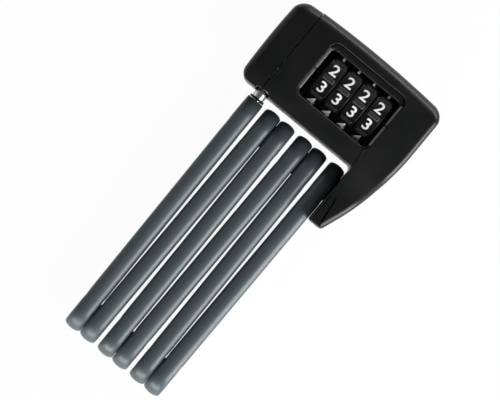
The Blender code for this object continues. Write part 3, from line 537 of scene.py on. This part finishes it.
def head_corners():
    """The whole head's outline, with each following side's front edge radius."""
    look = bpy.context.scene.lock_head
    tip_y = COVER_LOW[1]
    return [
        (LEFT, UNDERSIDE, 5.0, look.lower_edge),
        (HOOK_FACE, UNDERSIDE, 1.6, look.hook_edge),
        (HOOK_FACE, tip_y, 1.3, look.hook_edge),
        (HOOK_FACE + 7.5, tip_y, 2.0, 3.0),
        (RIGHT - 4.3, UNDERSIDE - 13.5, 105.0, look.side_edge),
        (RIGHT, UNDERSIDE + 11.8, 130.0, look.side_edge),
        (RIGHT, TOP, 6.5, look.top_edge),
        (LEFT, TOP, 6.5, look.left_edge),
    ]


def head_outline():
    """The rounded outline with its long sides bowed.

    The top falls by bow * (x / half width)^2, and the left side moves in by a third of that rule
    on y.
    """
    points, normals, edges, marks = filleted(head_corners())
    bow = bpy.context.scene.lock_head.bow
    x, y = points[:, 0].copy(), points[:, 1].copy()
    points[:, 1] -= bow * (x / RIGHT) ** 2 * ramp(y, 74, TOP)
    points[:, 0] += bow / 3 * ((y - 72) / 22) ** 2 * ramp(-x, 20, RIGHT)
    return points, normals, edges, marks


def front_height(x, y):
    """The domed front: highest behind the dials, sinking with a smooth step along the hook."""
    dome = bpy.context.scene.lock_head.dome
    fall = dome * ((x - 3) / 44) ** 2 + dome * ((y - 73) / 23) ** 2
    drop = HOOK_FALL * (1 - ramp(y, TOP_PIVOT[1], UNDERSIDE + 10.0))
    return HEAD_FRONT - np.minimum(fall, 3.0) - drop


def opening_outline(inset=0.0, per_arc=14, per_side=24):
    """The window opening in the front cover, starting at its lower left corner."""
    low, high = BEZEL_LOW[:2] - GAP + inset, BEZEL_HIGH[:2] + GAP - inset
    radius = 4.5 - inset
    corners = [(low[0], low[1]), (high[0], low[1]), (high[0], high[1]), (low[0], high[1])]
    return filleted([(x, y, radius, 0) for x, y in corners], per_arc, per_side)


def opening_points(outline_count, marks, inset=0.0):
    """A point of the opening for each point of the head's outline.

    The head's corners aim at places round the opening, from 0 at its lower left corner to 4.
    """
    aims = [0.0, 0.94, 1.0, 1.03, 1.10, 1.38, 2.0, 3.0, 4.0]
    stops = np.array(list(marks) + [marks[0] + outline_count], float)
    index = np.arange(outline_count, dtype=float)
    index[index < marks[0]] += outline_count
    place = np.interp(index, stops, aims)
    points, _, _, corner_marks = opening_outline(inset)
    total = len(points)
    known = np.array(corner_marks + [corner_marks[0] + total], float)
    where = np.interp(place, np.arange(5), known) % total
    ring = np.concatenate([points, points[:1]])
    steps = np.arange(total + 1)
    return np.stack([np.interp(where, steps, ring[:, 0]), np.interp(where, steps, ring[:, 1])], 1)


def panel_ledge(points, marks):
    """1 on the panel under the dials, up to the hook's crease, and 0 on the rest."""
    count = len(points)
    index = np.arange(count)
    on_panel = (index >= marks[0]) & (index <= marks[1])
    return on_panel * ramp(points[:, 0], SEAM + 3, SEAM + 16)


def front_rows(low):
    """Rows of the head's outside from its wall up over the front edge to the opening's rim.

    At angle f of the edge, a point is in by e (1 - cos f) and down by e (1 - sin f) from the
    domed front; further in, points go straight to the opening on the dome.
    """
    points, normals, edge, marks = head_outline()
    ledge = panel_ledge(points, marks) * bpy.context.scene.lock_head.ledge
    rows = []
    shoulder = front_height(points[:, 0], points[:, 1]) - edge - ledge
    for share in np.linspace(0, 1, 5):
        rows.append(lift(points, low + (shoulder - low) * share))
    for angle in np.linspace(0, math.pi / 2, 11)[1:]:
        inner = points - normals * (edge * (1 - math.cos(angle)))[:, None]
        height = front_height(inner[:, 0], inner[:, 1]) - edge * (1 - math.sin(angle))
        rows.append(lift(inner, height - ledge))
    target = opening_points(len(points), marks)
    for share in np.linspace(0, 1, 15)[1:]:
        flat = inner + (target - inner) * share
        rows.append(lift(flat, front_height(flat[:, 0], flat[:, 1]) - ledge))
    return rows, points, normals, marks


def mouth_tools(name):
    """The arched recess where the bolt enters, and the bolt's bore."""
    half, top = 3.75, UNDERSIDE + 2.0
    low = UNDERSIDE - 8
    corners = [(BOLT_X - half, low), (BOLT_X + half, low), (BOLT_X + half, top), (BOLT_X - half, top)]
    outline = filleted([(x, y, 1.6, 0) for x, y in corners], 10, 2)[0]
    arch = prism(name + "_arch", outline, 11 - half, 50)
    bore = rod(name + "_bore", 3.6, UNDERSIDE - 4, UNDERSIDE + 34, (BOLT_X, 0, 11), "Y")
    return [arch, bore]


def build_front_cover(finish):
    """The front shell: outside, opening's lip, inner side and wall, closed all round."""
    rows, points, normals, marks = front_rows(COVER_LOW[2])
    rim = rows[-1]
    lip = opening_points(len(points), marks, 0.25)
    rows.append(lift(lip, rim[:, 2] - 0.3))
    floor = HEAD_FRONT - 5.2
    rows.append(lift(lip, floor))
    inner = points - normals * SHELL_WALL
    ceiling = np.minimum(front_height(inner[:, 0], inner[:, 1]) - SHELL_WALL - 2.0, floor)
    rows.append(lift(inner, ceiling))
    rows.append(lift(inner, COVER_LOW[2]))
    cover = skin("front_shell", np.stack(rows), finish, wrap_rows=True)
    side = block("past_seam", (LEFT - 9, 0, -9), (SEAM + HALF_SEAM, 200, 60))
    bore = rod("hook_bore", 6.8, HOOK_FACE - 3, HOOK_FACE + 3.2, (0, TOP_PIVOT[1], TOP_PIVOT[2]), "X")
    return carve(cover, [side, bore, *mouth_tools("cover")])


def build_end_cap(finish):
    """The cap: the same front and edges, with a rounded back, cut off at the seam."""
    rows, points, normals, marks = front_rows(1.5)
    back = []
    for angle in np.linspace(0, math.pi / 2, 6)[:-1]:
        inset = 1.5 * (1 - math.sin(angle))
        back.append(lift(points - normals * inset, 1.5 * (1 - math.cos(angle))))
    middle = np.repeat(np.array([[0.0, 72.0]]), len(points), 0)
    bottom = [lift(middle, 0.0)]
    top = [lift(middle, HEAD_FRONT - 0.3)]
    cap = skin("end_cap", np.stack(bottom + back + rows + top), finish)
    side = block("past_cap", (SEAM - HALF_SEAM, 0, -9), (RIGHT + 9, 200, 60))
    cap = carve(cap, [side, *mouth_tools("cap")])
    step = TOP - CAP_HIGH[1]
    for corner in cap.data.vertices:
        corner.co.y -= step * MM * float(ramp(corner.co.y / MM, 80, 93))
    return cap


def build_bezel(finish):
    """The frame round the dials: a falling face between the opening and the window."""
    outer, _, _, marks = opening_outline(GAP)
    left, right = BEZEL_LOW[0] + 1.6, BEZEL_HIGH[0] - 1.6
    low, high = BEZEL_LOW[1] + 1.2, BEZEL_HIGH[1] - 3.6
    corners = [(left, low), (right, low), (right, high), (left, high)]
    inner = filleted([(x, y, 2.6, 0) for x, y in corners], 14, 24)[0]
    bottom, top = BEZEL_LOW[2], BEZEL_HIGH[2]
    steps = [
        (0.0, bottom),
        (0.0, top - 0.4),
        (0.06, top - 0.1),
        (0.16, top),
        (0.5, top - 0.15),
        (0.86, top - 0.4),
        (0.96, top - 0.7),
        (1.0, top - 1.2),
        (1.0, bottom),
    ]
    rows = [lift(outer + (inner - outer) * share, height) for share, height in steps]
    return skin("dial_frame", np.stack(rows), finish, wrap_rows=True)


def build_strips(finish):
    """Two raised index strips on each side of the dials, parted at the reading line."""
    dial_y = joint_place("dial_1_turn")[1]
    strips = []
    for side, x in (("left", BEZEL_LOW[0] + 0.75), ("right", BEZEL_HIGH[0] - 0.75)):
        for part, low, high in (("lower", -11.8, -0.5), ("upper", 0.5, 11.8)):
            half = 0.72
            corners = [(x - half, low), (x + half, low), (x + half, high), (x - half, high)]
            outline = filleted([(a, b + dial_y, 0.35, 0) for a, b in corners], 5, 2)
            points, normals = outline[0], outline[1]
            top = BEZEL_HIGH[2] + 0.35
            rows = [lift(points, top - 1.0), lift(points, top - 0.3)]
            rows += [
                lift(points - normals * 0.3 * (1 - math.cos(a)), top - 0.3 * (1 - math.sin(a)))
                for a in np.linspace(0.3, math.pi / 2, 4)
            ]
            middle = np.repeat(points.mean(0)[None], len(points), 0)
            rows = [lift(middle, top - 1.0)] + rows + [lift(middle, top)]
            strips.append(skin(f"index_strip_{side}_{part}", np.stack(rows), finish))
    return strips


# ---------------------------------------------------------------- dials


def dial_profile(width, radius, bore):
    """(radius, x) from one face's bore over the drum to the other, rounded at its edges."""
    half, edge = width / 2, 0.35
    points = [(bore, -half), (radius - edge, -half)]
    for angle in np.linspace(0, math.pi / 2, 6)[1:]:
        points.append((radius - edge + edge * math.sin(angle), -half + edge * (1 - math.cos(angle))))
    for x in np.linspace(-half + edge, half - edge, 35)[1:-1]:
        points.append((radius, x))
    for angle in np.linspace(math.pi / 2, 0, 6):
        points.append((radius - edge + edge * math.sin(angle), half - edge * (1 - math.cos(angle))))
    points.append((bore, half))
    return np.array(points)


def build_dial(number, finish):
    """A drum whose ten ribs rise between its ten digits.

    The radius is the profile's plus a pad: rib height * step(across) * step(along).
    """
    centre = joint_place(f"dial_{number}_turn")
    low, high = box_of(f"dial_{number}")
    width = high[0] - low[0]
    radius = DRUM_RADIUS
    profile = dial_profile(width, radius, 6.0)
    angle = np.linspace(0, 2 * math.pi, 600, endpoint=False)
    place = (angle / (2 * math.pi) * 10 + 0.5) % 1 - 0.5
    across = np.abs(place) * (2 * math.pi / 10) * radius
    pad = 1 - ramp(across, 0.75, 1.15)
    along = 1 - ramp(np.abs(profile[:, 1]), 2.85, 3.25)
    scoop = 0.12 * (1 - np.cos(2 * math.pi * place)) / 2
    on_drum = (profile[:, 0] > radius - 0.4).astype(float)
    rise = 0.5 * pad[None, :] * along[:, None] - scoop[None, :] * on_drum[:, None]
    full = profile[:, 0][:, None] + rise
    sheets = np.stack(
        [
            np.broadcast_to(profile[:, 1][:, None], full.shape),
            -full * np.sin(angle)[None, :],
            full * np.cos(angle)[None, :],
        ],
        -1,
    )
    return skin(f"number_dial_{number}", sheets + centre, finish, wrap_rows=True, sharp=50.0)


def digit_points(character):
    """One digit as a flat mesh, its height cut into strips so that it can bend round the drum."""
    look = bpy.context.scene.lock_dials
    curve = bpy.data.curves.new("digit", "FONT")
    curve.body = character
    curve.extrude = 0.02
    curve.offset = 0.014
    curve.resolution_u = 6
    holder = bpy.data.objects.new("digit", curve)
    bpy.context.scene.collection.objects.link(holder)
    bpy.context.view_layer.update()
    graph = bpy.context.evaluated_depsgraph_get()
    mesh = bpy.data.meshes.new_from_object(holder.evaluated_get(graph))
    bpy.data.objects.remove(holder)
    solid = bmesh.new()
    solid.from_mesh(mesh)
    bmesh.ops.remove_doubles(solid, verts=solid.verts, dist=0.00001)
    low = min(corner.co.y for corner in solid.verts)
    high = max(corner.co.y for corner in solid.verts)
    for cut in np.linspace(low, high, 16)[1:-1]:
        geometry = list(solid.verts) + list(solid.edges) + list(solid.faces)
        bmesh.ops.bisect_plane(solid, geom=geometry, plane_co=(0, cut, 0), plane_no=(0, 1, 0))
    bmesh.ops.triangulate(solid, faces=solid.faces)
    places = np.array([corner.co[:] for corner in solid.verts])
    faces = np.array([[corner.index for corner in face.verts] for face in solid.faces])
    solid.free()
    low, high = places.min(0), places.max(0)
    places[:, 0] -= (low[0] + high[0]) / 2
    places[:, 1] -= (low[1] + high[1]) / 2
    scale = look.digit_height / (high[1] - low[1])
    across = min(scale * 1.08, look.digit_width / (high[0] - low[0]))
    return places * (across, scale, 1.0), faces


def build_digits(number, finish):
    """The ten digits of a dial, bent round its drum: y = -R sin a, z = R cos a."""
    centre = joint_place(f"dial_{number}_turn")
    radius = DRUM_RADIUS
    all_points, all_faces, count = [], [], 0
    for digit in range(10):
        points, faces = digit_points(str(digit))
        middle = math.radians(-18 + (digit - 2) * 36)
        angle = middle - points[:, 1] / radius
        reach = radius + np.where(points[:, 2] > 0, 0.03, -0.3)
        bent = np.stack([points[:, 0], -reach * np.sin(angle), reach * np.cos(angle)], 1)
        all_points.append(bent + centre)
        all_faces.append(faces + count)
        count += len(points)
    name = f"digits_{number}"
    return make_piece(name, np.concatenate(all_points), np.concatenate(all_faces), finish)


# ---------------------------------------------------------------- bars


def joins_below(number):
    return 1 if number % 2 else -1


def cover_rows(number):
    """Rows across a cover's thickness; its rim is a superellipse from crest to flat side.

    At t, a point stands at half * sin(t)^(2/n) across and inset * (1 - cos(t)^(2/n)) in.
    """
    look = bpy.context.scene.lock_bars
    low, high = LOW_PIVOT[1], TOP_PIVOT[1]
    centre_z, radius, half = TOP_PIVOT[2], 11.0, 4.36
    corners = [
        (low - radius, centre_z - radius),
        (high + radius, centre_z - radius),
        (high + radius, centre_z + radius),
        (low - radius, centre_z + radius),
    ]
    outline = filleted([(y, z, radius, 0) for y, z in corners], 24, 60)
    points, normals = outline[0], outline[1]
    power = 2 / look.roundness
    inward = []
    for t in np.linspace(0, math.pi / 2, 12):
        inward.append((half * math.sin(t) ** power, look.edge_inset * (1 - math.cos(t) ** power)))
    flat = [(half, inset) for inset in (3.6, 5.2, 7.2, 9.0)]
    half_rows = inward + flat
    profile = [(-x, inset) for x, inset in reversed(half_rows)] + half_rows[1:]
    sheets = []
    ends = look.end_inset / look.edge_inset
    share = ends + (1 - ends) * normals[:, 1] ** 2
    for x, inset in profile:
        depth = inset * share if inset <= look.edge_inset else np.full(len(points), inset)
        ring = points - normals * depth[:, None]
        lean = (ring[:, 0] - (low + high) / 2) / ((high - low) / 2)
        shift = -joins_below(number) * 0.45 * np.clip(lean, -1, 1)
        pinch = 0.0
        for end_y, inward_y in ((low, 1), (high, -1)):
            pinch = pinch + 0.22 * np.exp(-(((ring[:, 0] - end_y - inward_y * 6.9) / 1.5) ** 2))
        width = np.sign(x) * np.minimum(abs(x), half - pinch * (abs(x) / half))
        sheets.append(np.stack([BAR_X[number - 1] + width + shift, ring[:, 0], ring[:, 1]], 1))
    return np.stack(sheets)


def build_cover(number, finish):
    cover = skin(f"cover_{number}", cover_rows(number), finish)
    x, centre_z = BAR_X[number - 1], TOP_PIVOT[2]
    tools = []
    low, high = LOW_PIVOT[1], TOP_PIVOT[1]
    pivots = [low] if number == 1 else [low, high]
    corners = [(low - 9.3, 1.7), (high + 9.3, 1.7), (high + 9.3, 20.3), (low - 9.3, 20.3)]
    room = filleted([(y, z, 9.3, 0) for y, z in corners], 16, 4)[0]
    tools.append(prism(f"room_{number}", room, x - 2.8, x + 2.8, "YZ"))
    for y in pivots:
        below = joins_below(number) if y == low else -joins_below(number)
        for side, radius in ((below, 6.8), (-below, 5.8)):
            start, end = sorted((0.0, side * 9.0))
            tools.append(rod(f"hole_{number}", radius, start, end, (x, y, centre_z), "X"))
    if number == 1:
        flat = BOLT_LOW[1] + 12.2
        tools.append(block("flat_end", (x - 20, flat, -20), (x + 20, flat + 30, 60)))
        tools.append(rod("stem_hole", 2.5, high + 5, high + 30, (BOLT_X, 0, centre_z), "Y"))
    return carve(cover, tools)


def build_bolt(chrome, dark):
    """The chromed bolt with its neck and chamfered tip, and the dark collar at its foot."""
    foot = BOLT_LOW[1]
    tip = BOLT_HIGH[1]
    neck = joint_place("dial_1_turn")[1]
    radius, collar = BOLT_RADIUS, COLLAR_RADIUS
    start = foot + 12.5
    profile = [(0, tip)]
    for angle in np.linspace(0, math.pi / 2, 7):
        profile.append((radius - 1.6 + 1.6 * math.sin(angle), tip - 1.6 + 1.6 * math.cos(angle)))
    profile += [(radius, neck + 2.7), (radius - 0.1, neck + 2.6), (1.9, neck + 2.0), (1.9, neck - 2.0)]
    profile += [(radius - 0.1, neck - 2.6), (radius, neck - 2.7), (radius, start + 0.2)]
    profile += [(2.2, start), (2.2, foot), (0, foot)]
    bolt = turned("chromed_bolt", profile, (BOLT_X, 0, 11), "Y", chrome, 72)
    ring = [(collar, start + 0.9), (collar, start + 0.1), (collar - 0.1, start), (2.3, start)]
    ring += [(radius + 0.02, start + 1.1), (collar - 0.2, start + 1.1)]
    return bolt, turned("bolt_collar", ring, (BOLT_X, 0, 11), "Y", dark, 64, closed=True)


# ---------------------------------------------------------------- operators


def settle(piece, body, slot, *replaced):
    """Ride on a body and stand for frame nodes; slot is not used."""
    if replaced:
        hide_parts(*replaced)
    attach(piece, body)


class LOCK_OT_head(bpy.types.Operator):
    """Build the head's shell, end cap, dial frame and index strips"""

    bl_idname = "lock.head"
    bl_label = "Head"

    def execute(self, context):
        finish = head_finish()
        settle(build_front_cover(finish), "head", "head_plastic", "head_front_cover")
        settle(build_end_cap(finish), "head", "head_plastic", "head_end_cap")
        settle(build_bezel(bezel_finish()), "head", "bezel_plastic", "window_bezel")
        for strip in build_strips(strip_finish()):
            settle(strip, "head", "bezel_plastic")
        paint_node("head_back_cover", finish)
        return {"FINISHED"}


class LOCK_OT_dials(bpy.types.Operator):
    """Build the four number dials and their digits"""

    bl_idname = "lock.dials"
    bl_label = "Dials"

    def execute(self, context):
        drum, paint = dial_finish(), digit_finish()
        for number in range(1, DIAL_COUNT + 1):
            body = f"dial_{number}"
            settle(build_dial(number, drum), body, "dial_plastic", body)
            settle(build_digits(number, paint), body, "dial_plastic")
        return {"FINISHED"}


class LOCK_OT_bars(bpy.types.Operator):
    """Build the six bars' rubber covers"""

    bl_idname = "lock.bars"
    bl_label = "Bars"

    def execute(self, context):
        finish = rubber_finish()
        for number in range(1, BAR_COUNT + 1):
            node = BARS[number - 1]
            settle(build_cover(number, finish), f"bar_{number}", "cover_rubber", node)
        return {"FINISHED"}


class LOCK_OT_bolt(bpy.types.Operator):
    """Build the chromed locking bolt and its collar"""

    bl_idname = "lock.bolt"
    bl_label = "Bolt"

    def execute(self, context):
        dark = metal_finish("collar_steel", (0.03, 0.03, 0.032), 0.45, 0.55)
        bolt, collar = build_bolt(chrome_finish(), dark)
        settle(bolt, "bar_1", "chrome", "locking_bolt")
        settle(collar, "bar_1", "zinc_steel")
        return {"FINISHED"}


def paint_node(name, material):
    data = frame["nodes"][name].data
    data.materials.clear()
    data.materials.append(material)


class LOCK_OT_metals(bpy.types.Operator):
    """Give the steel, brass and spring pieces inside the lock their finishes"""

    bl_idname = "lock.metals"
    bl_label = "Metal pieces"

    def execute(self, context):
        steel = metal_finish("rolled_steel", (0.42, 0.42, 0.43), 0.34, 0.48, (1, 0.05, 1), 0.2)
        zinc = metal_finish("zinc_plate", (0.56, 0.56, 0.55), 0.26, 0.38)
        brass = metal_finish("turned_brass", (0.72, 0.53, 0.26), 0.24, 0.34, (12, 1, 1))
        dark = metal_finish("blackened_steel", (0.03, 0.03, 0.032), 0.4, 0.5)
        spring = metal_finish("spring_wire", (0.36, 0.36, 0.38), 0.24, 0.34)
        slider = bezel_finish()
        chosen = {"lock_case": dark, "hinge_cheek": steel, "code_reset_slider": slider}
        chosen["code_spindle"] = dark
        for name in frame["nodes"]:
            if name.endswith("_spring"):
                chosen[name] = spring
            elif name.endswith("_core"):
                chosen[name] = steel
            elif name.startswith("dial_sleeve"):
                chosen[name] = brass
            elif name.startswith("spacer"):
                chosen[name] = dark
            elif name.startswith(("rivet", "cover_screw", "socket_bush", "latch_bar", "bolt_pin")):
                chosen[name] = zinc
        for name, material in chosen.items():
            paint_node(name, material)
        return {"FINISHED"}


def add_lamp(name, place, aim, size, power):
    data = bpy.data.lights.new(name, "AREA")
    data.shape = "RECTANGLE"
    data.size, data.size_y = size
    data.energy = power
    lamp = bpy.data.objects.new(name, data)
    bpy.context.scene.collection.objects.link(lamp)
    place, aim = Vector(place), Vector(aim)
    turn = (aim - place).to_track_quat("-Z", "Y").to_matrix().to_4x4()
    lamp.matrix_world = Matrix.Translation(place) @ turn


def seen_directly(nodes):
    """1 for camera, glossy and transmission rays, else 0."""
    path = nodes.new("ShaderNodeLightPath")
    tree = path.id_data
    total = path.outputs["Is Camera Ray"]
    for other in ("Is Glossy Ray", "Is Transmission Ray"):
        most = nodes.new("ShaderNodeMath")
        most.operation = "MAXIMUM"
        tree.links.new(total, most.inputs[0])
        tree.links.new(path.outputs[other], most.inputs[1])
        total = most.outputs[0]
    return total


def build_floor():
    """A wide pale floor that looks near white and keeps a soft shadow."""
    mesh = bpy.data.meshes.new("floor")
    size, level = 6.0, -0.0003
    corners = [(-size, -size, level), (size, -size, level), (size, size, level), (-size, size, level)]
    mesh.from_pydata(corners, [], [(0, 1, 2, 3)])
    floor = bpy.data.objects.new("floor", mesh)
    bpy.context.scene.collection.objects.link(floor)
    material = bpy.data.materials.new("pale_floor")
    material.use_nodes = True
    nodes, links = material.node_tree.nodes, material.node_tree.links
    nodes.clear()
    matt = nodes.new("ShaderNodeBsdfDiffuse")
    matt.inputs["Color"].default_value = (0.86, 0.86, 0.86, 1)
    glow = nodes.new("ShaderNodeEmission")
    mix = nodes.new("ShaderNodeMixShader")
    share = nodes.new("ShaderNodeMath")
    share.operation = "MULTIPLY"
    share.inputs[1].default_value = 0.96
    links.new(seen_directly(nodes), share.inputs[0])
    links.new(share.outputs[0], mix.inputs[0])
    links.new(matt.outputs[0], mix.inputs[1])
    links.new(glow.outputs[0], mix.inputs[2])
    output = nodes.new("ShaderNodeOutputMaterial")
    links.new(mix.outputs[0], output.inputs["Surface"])
    mesh.materials.append(material)


def build_world():
    """Bright near the horizon and dark overhead, like a table under a lightless ceiling."""
    world = bpy.data.worlds.new("studio")
    bpy.context.scene.world = world
    world.use_nodes = True
    nodes, links = world.node_tree.nodes, world.node_tree.links
    nodes.clear()
    coordinates = nodes.new("ShaderNodeTexCoord")
    parts = nodes.new("ShaderNodeSeparateXYZ")
    links.new(coordinates.outputs["Generated"], parts.inputs[0])
    fall = nodes.new("ShaderNodeMapRange")
    fall.interpolation_type = "SMOOTHSTEP"
    for key, value in {"From Min": 0.1, "From Max": 0.8, "To Min": 0.28, "To Max": 0.1}.items():
        fall.inputs[key].default_value = value
    links.new(parts.outputs["Z"], fall.inputs["Value"])
    sky = nodes.new("ShaderNodeBackground")
    links.new(fall.outputs[0], sky.inputs["Strength"])
    output = nodes.new("ShaderNodeOutputWorld")
    links.new(sky.outputs[0], output.inputs["Surface"])


def build_camera():
    """Straight above the lock, rolled so that it lies across the picture."""
    look = bpy.context.scene.lock_stage
    data = bpy.data.cameras.new("camera")
    data.sensor_width = 36.0
    data.lens = data.sensor_width * look.distance / look.view_width
    data.clip_end = 20.0
    camera = bpy.data.objects.new("camera", data)
    bpy.context.scene.collection.objects.link(camera)
    centre = Vector((-1.55, 5.1, 16.0 + look.distance)) * MM
    camera.matrix_world = Matrix.Translation(centre) @ Matrix.Rotation(look.roll, 4, "Z")
    bpy.context.scene.camera = camera


class LOCK_OT_stage(bpy.types.Operator):
    """Set the floor, the light and the camera"""

    bl_idname = "lock.stage"
    bl_label = "Stage"

    def execute(self, context):
        power = context.scene.lock_stage.key_power
        build_floor()
        build_world()
        build_camera()
        add_lamp("key", (0.75, -0.05, 0.37), (0, 0, 0), (0.5, 0.7), power)
        add_lamp("low", (0.1, -0.85, 0.16), (0, -0.06, 0), (1.0, 0.26), power * 0.75)
        add_lamp("back", (0.2, 0.85, 0.28), (0, 0.08, 0.02), (0.8, 0.3), power * 0.4)
        add_lamp("fill", (-0.8, 0.1, 0.45), (0, 0, 0), (0.5, 0.7), power * 0.06)
        context.scene.view_settings.view_transform = "Standard"
        return {"FINISHED"}


class LOCK_PT_panel(bpy.types.Panel):
    """The lock's build steps and settings"""

    bl_idname = "LOCK_PT_panel"
    bl_label = "Folding lock"
    bl_space_type = "VIEW_3D"
    bl_region_type = "UI"
    bl_category = "Lock"

    def draw(self, context):
        for group in ("lock_head", "lock_dials", "lock_bars", "lock_stage"):
            settings = getattr(context.scene, group)
            for name in settings.__annotations__:
                self.layout.prop(settings, name)
        for step in STEPS:
            self.layout.operator(step.bl_idname)


SETTINGS = {
    "lock_head": HeadSettings,
    "lock_dials": DialSettings,
    "lock_bars": BarSettings,
    "lock_stage": StageSettings,
}
STEPS = (LOCK_OT_stage, LOCK_OT_head, LOCK_OT_dials, LOCK_OT_bars, LOCK_OT_bolt, LOCK_OT_metals)


def register():
    for kind in (*SETTINGS.values(), *STEPS, LOCK_PT_panel):
        bpy.utils.register_class(kind)
    for name, kind in SETTINGS.items():
        setattr(bpy.types.Scene, name, PointerProperty(type=kind))


def unregister():
    for name in SETTINGS:
        delattr(bpy.types.Scene, name)
    for kind in (LOCK_PT_panel, *reversed(STEPS), *SETTINGS.values()):
        bpy.utils.unregister_class(kind)


def main():
    register()
    bpy.ops.lock.stage()
    bpy.ops.lock.head()
    bpy.ops.lock.dials()
    bpy.ops.lock.bars()
    bpy.ops.lock.bolt()
    bpy.ops.lock.metals()


if __name__ == "__main__":
    main()
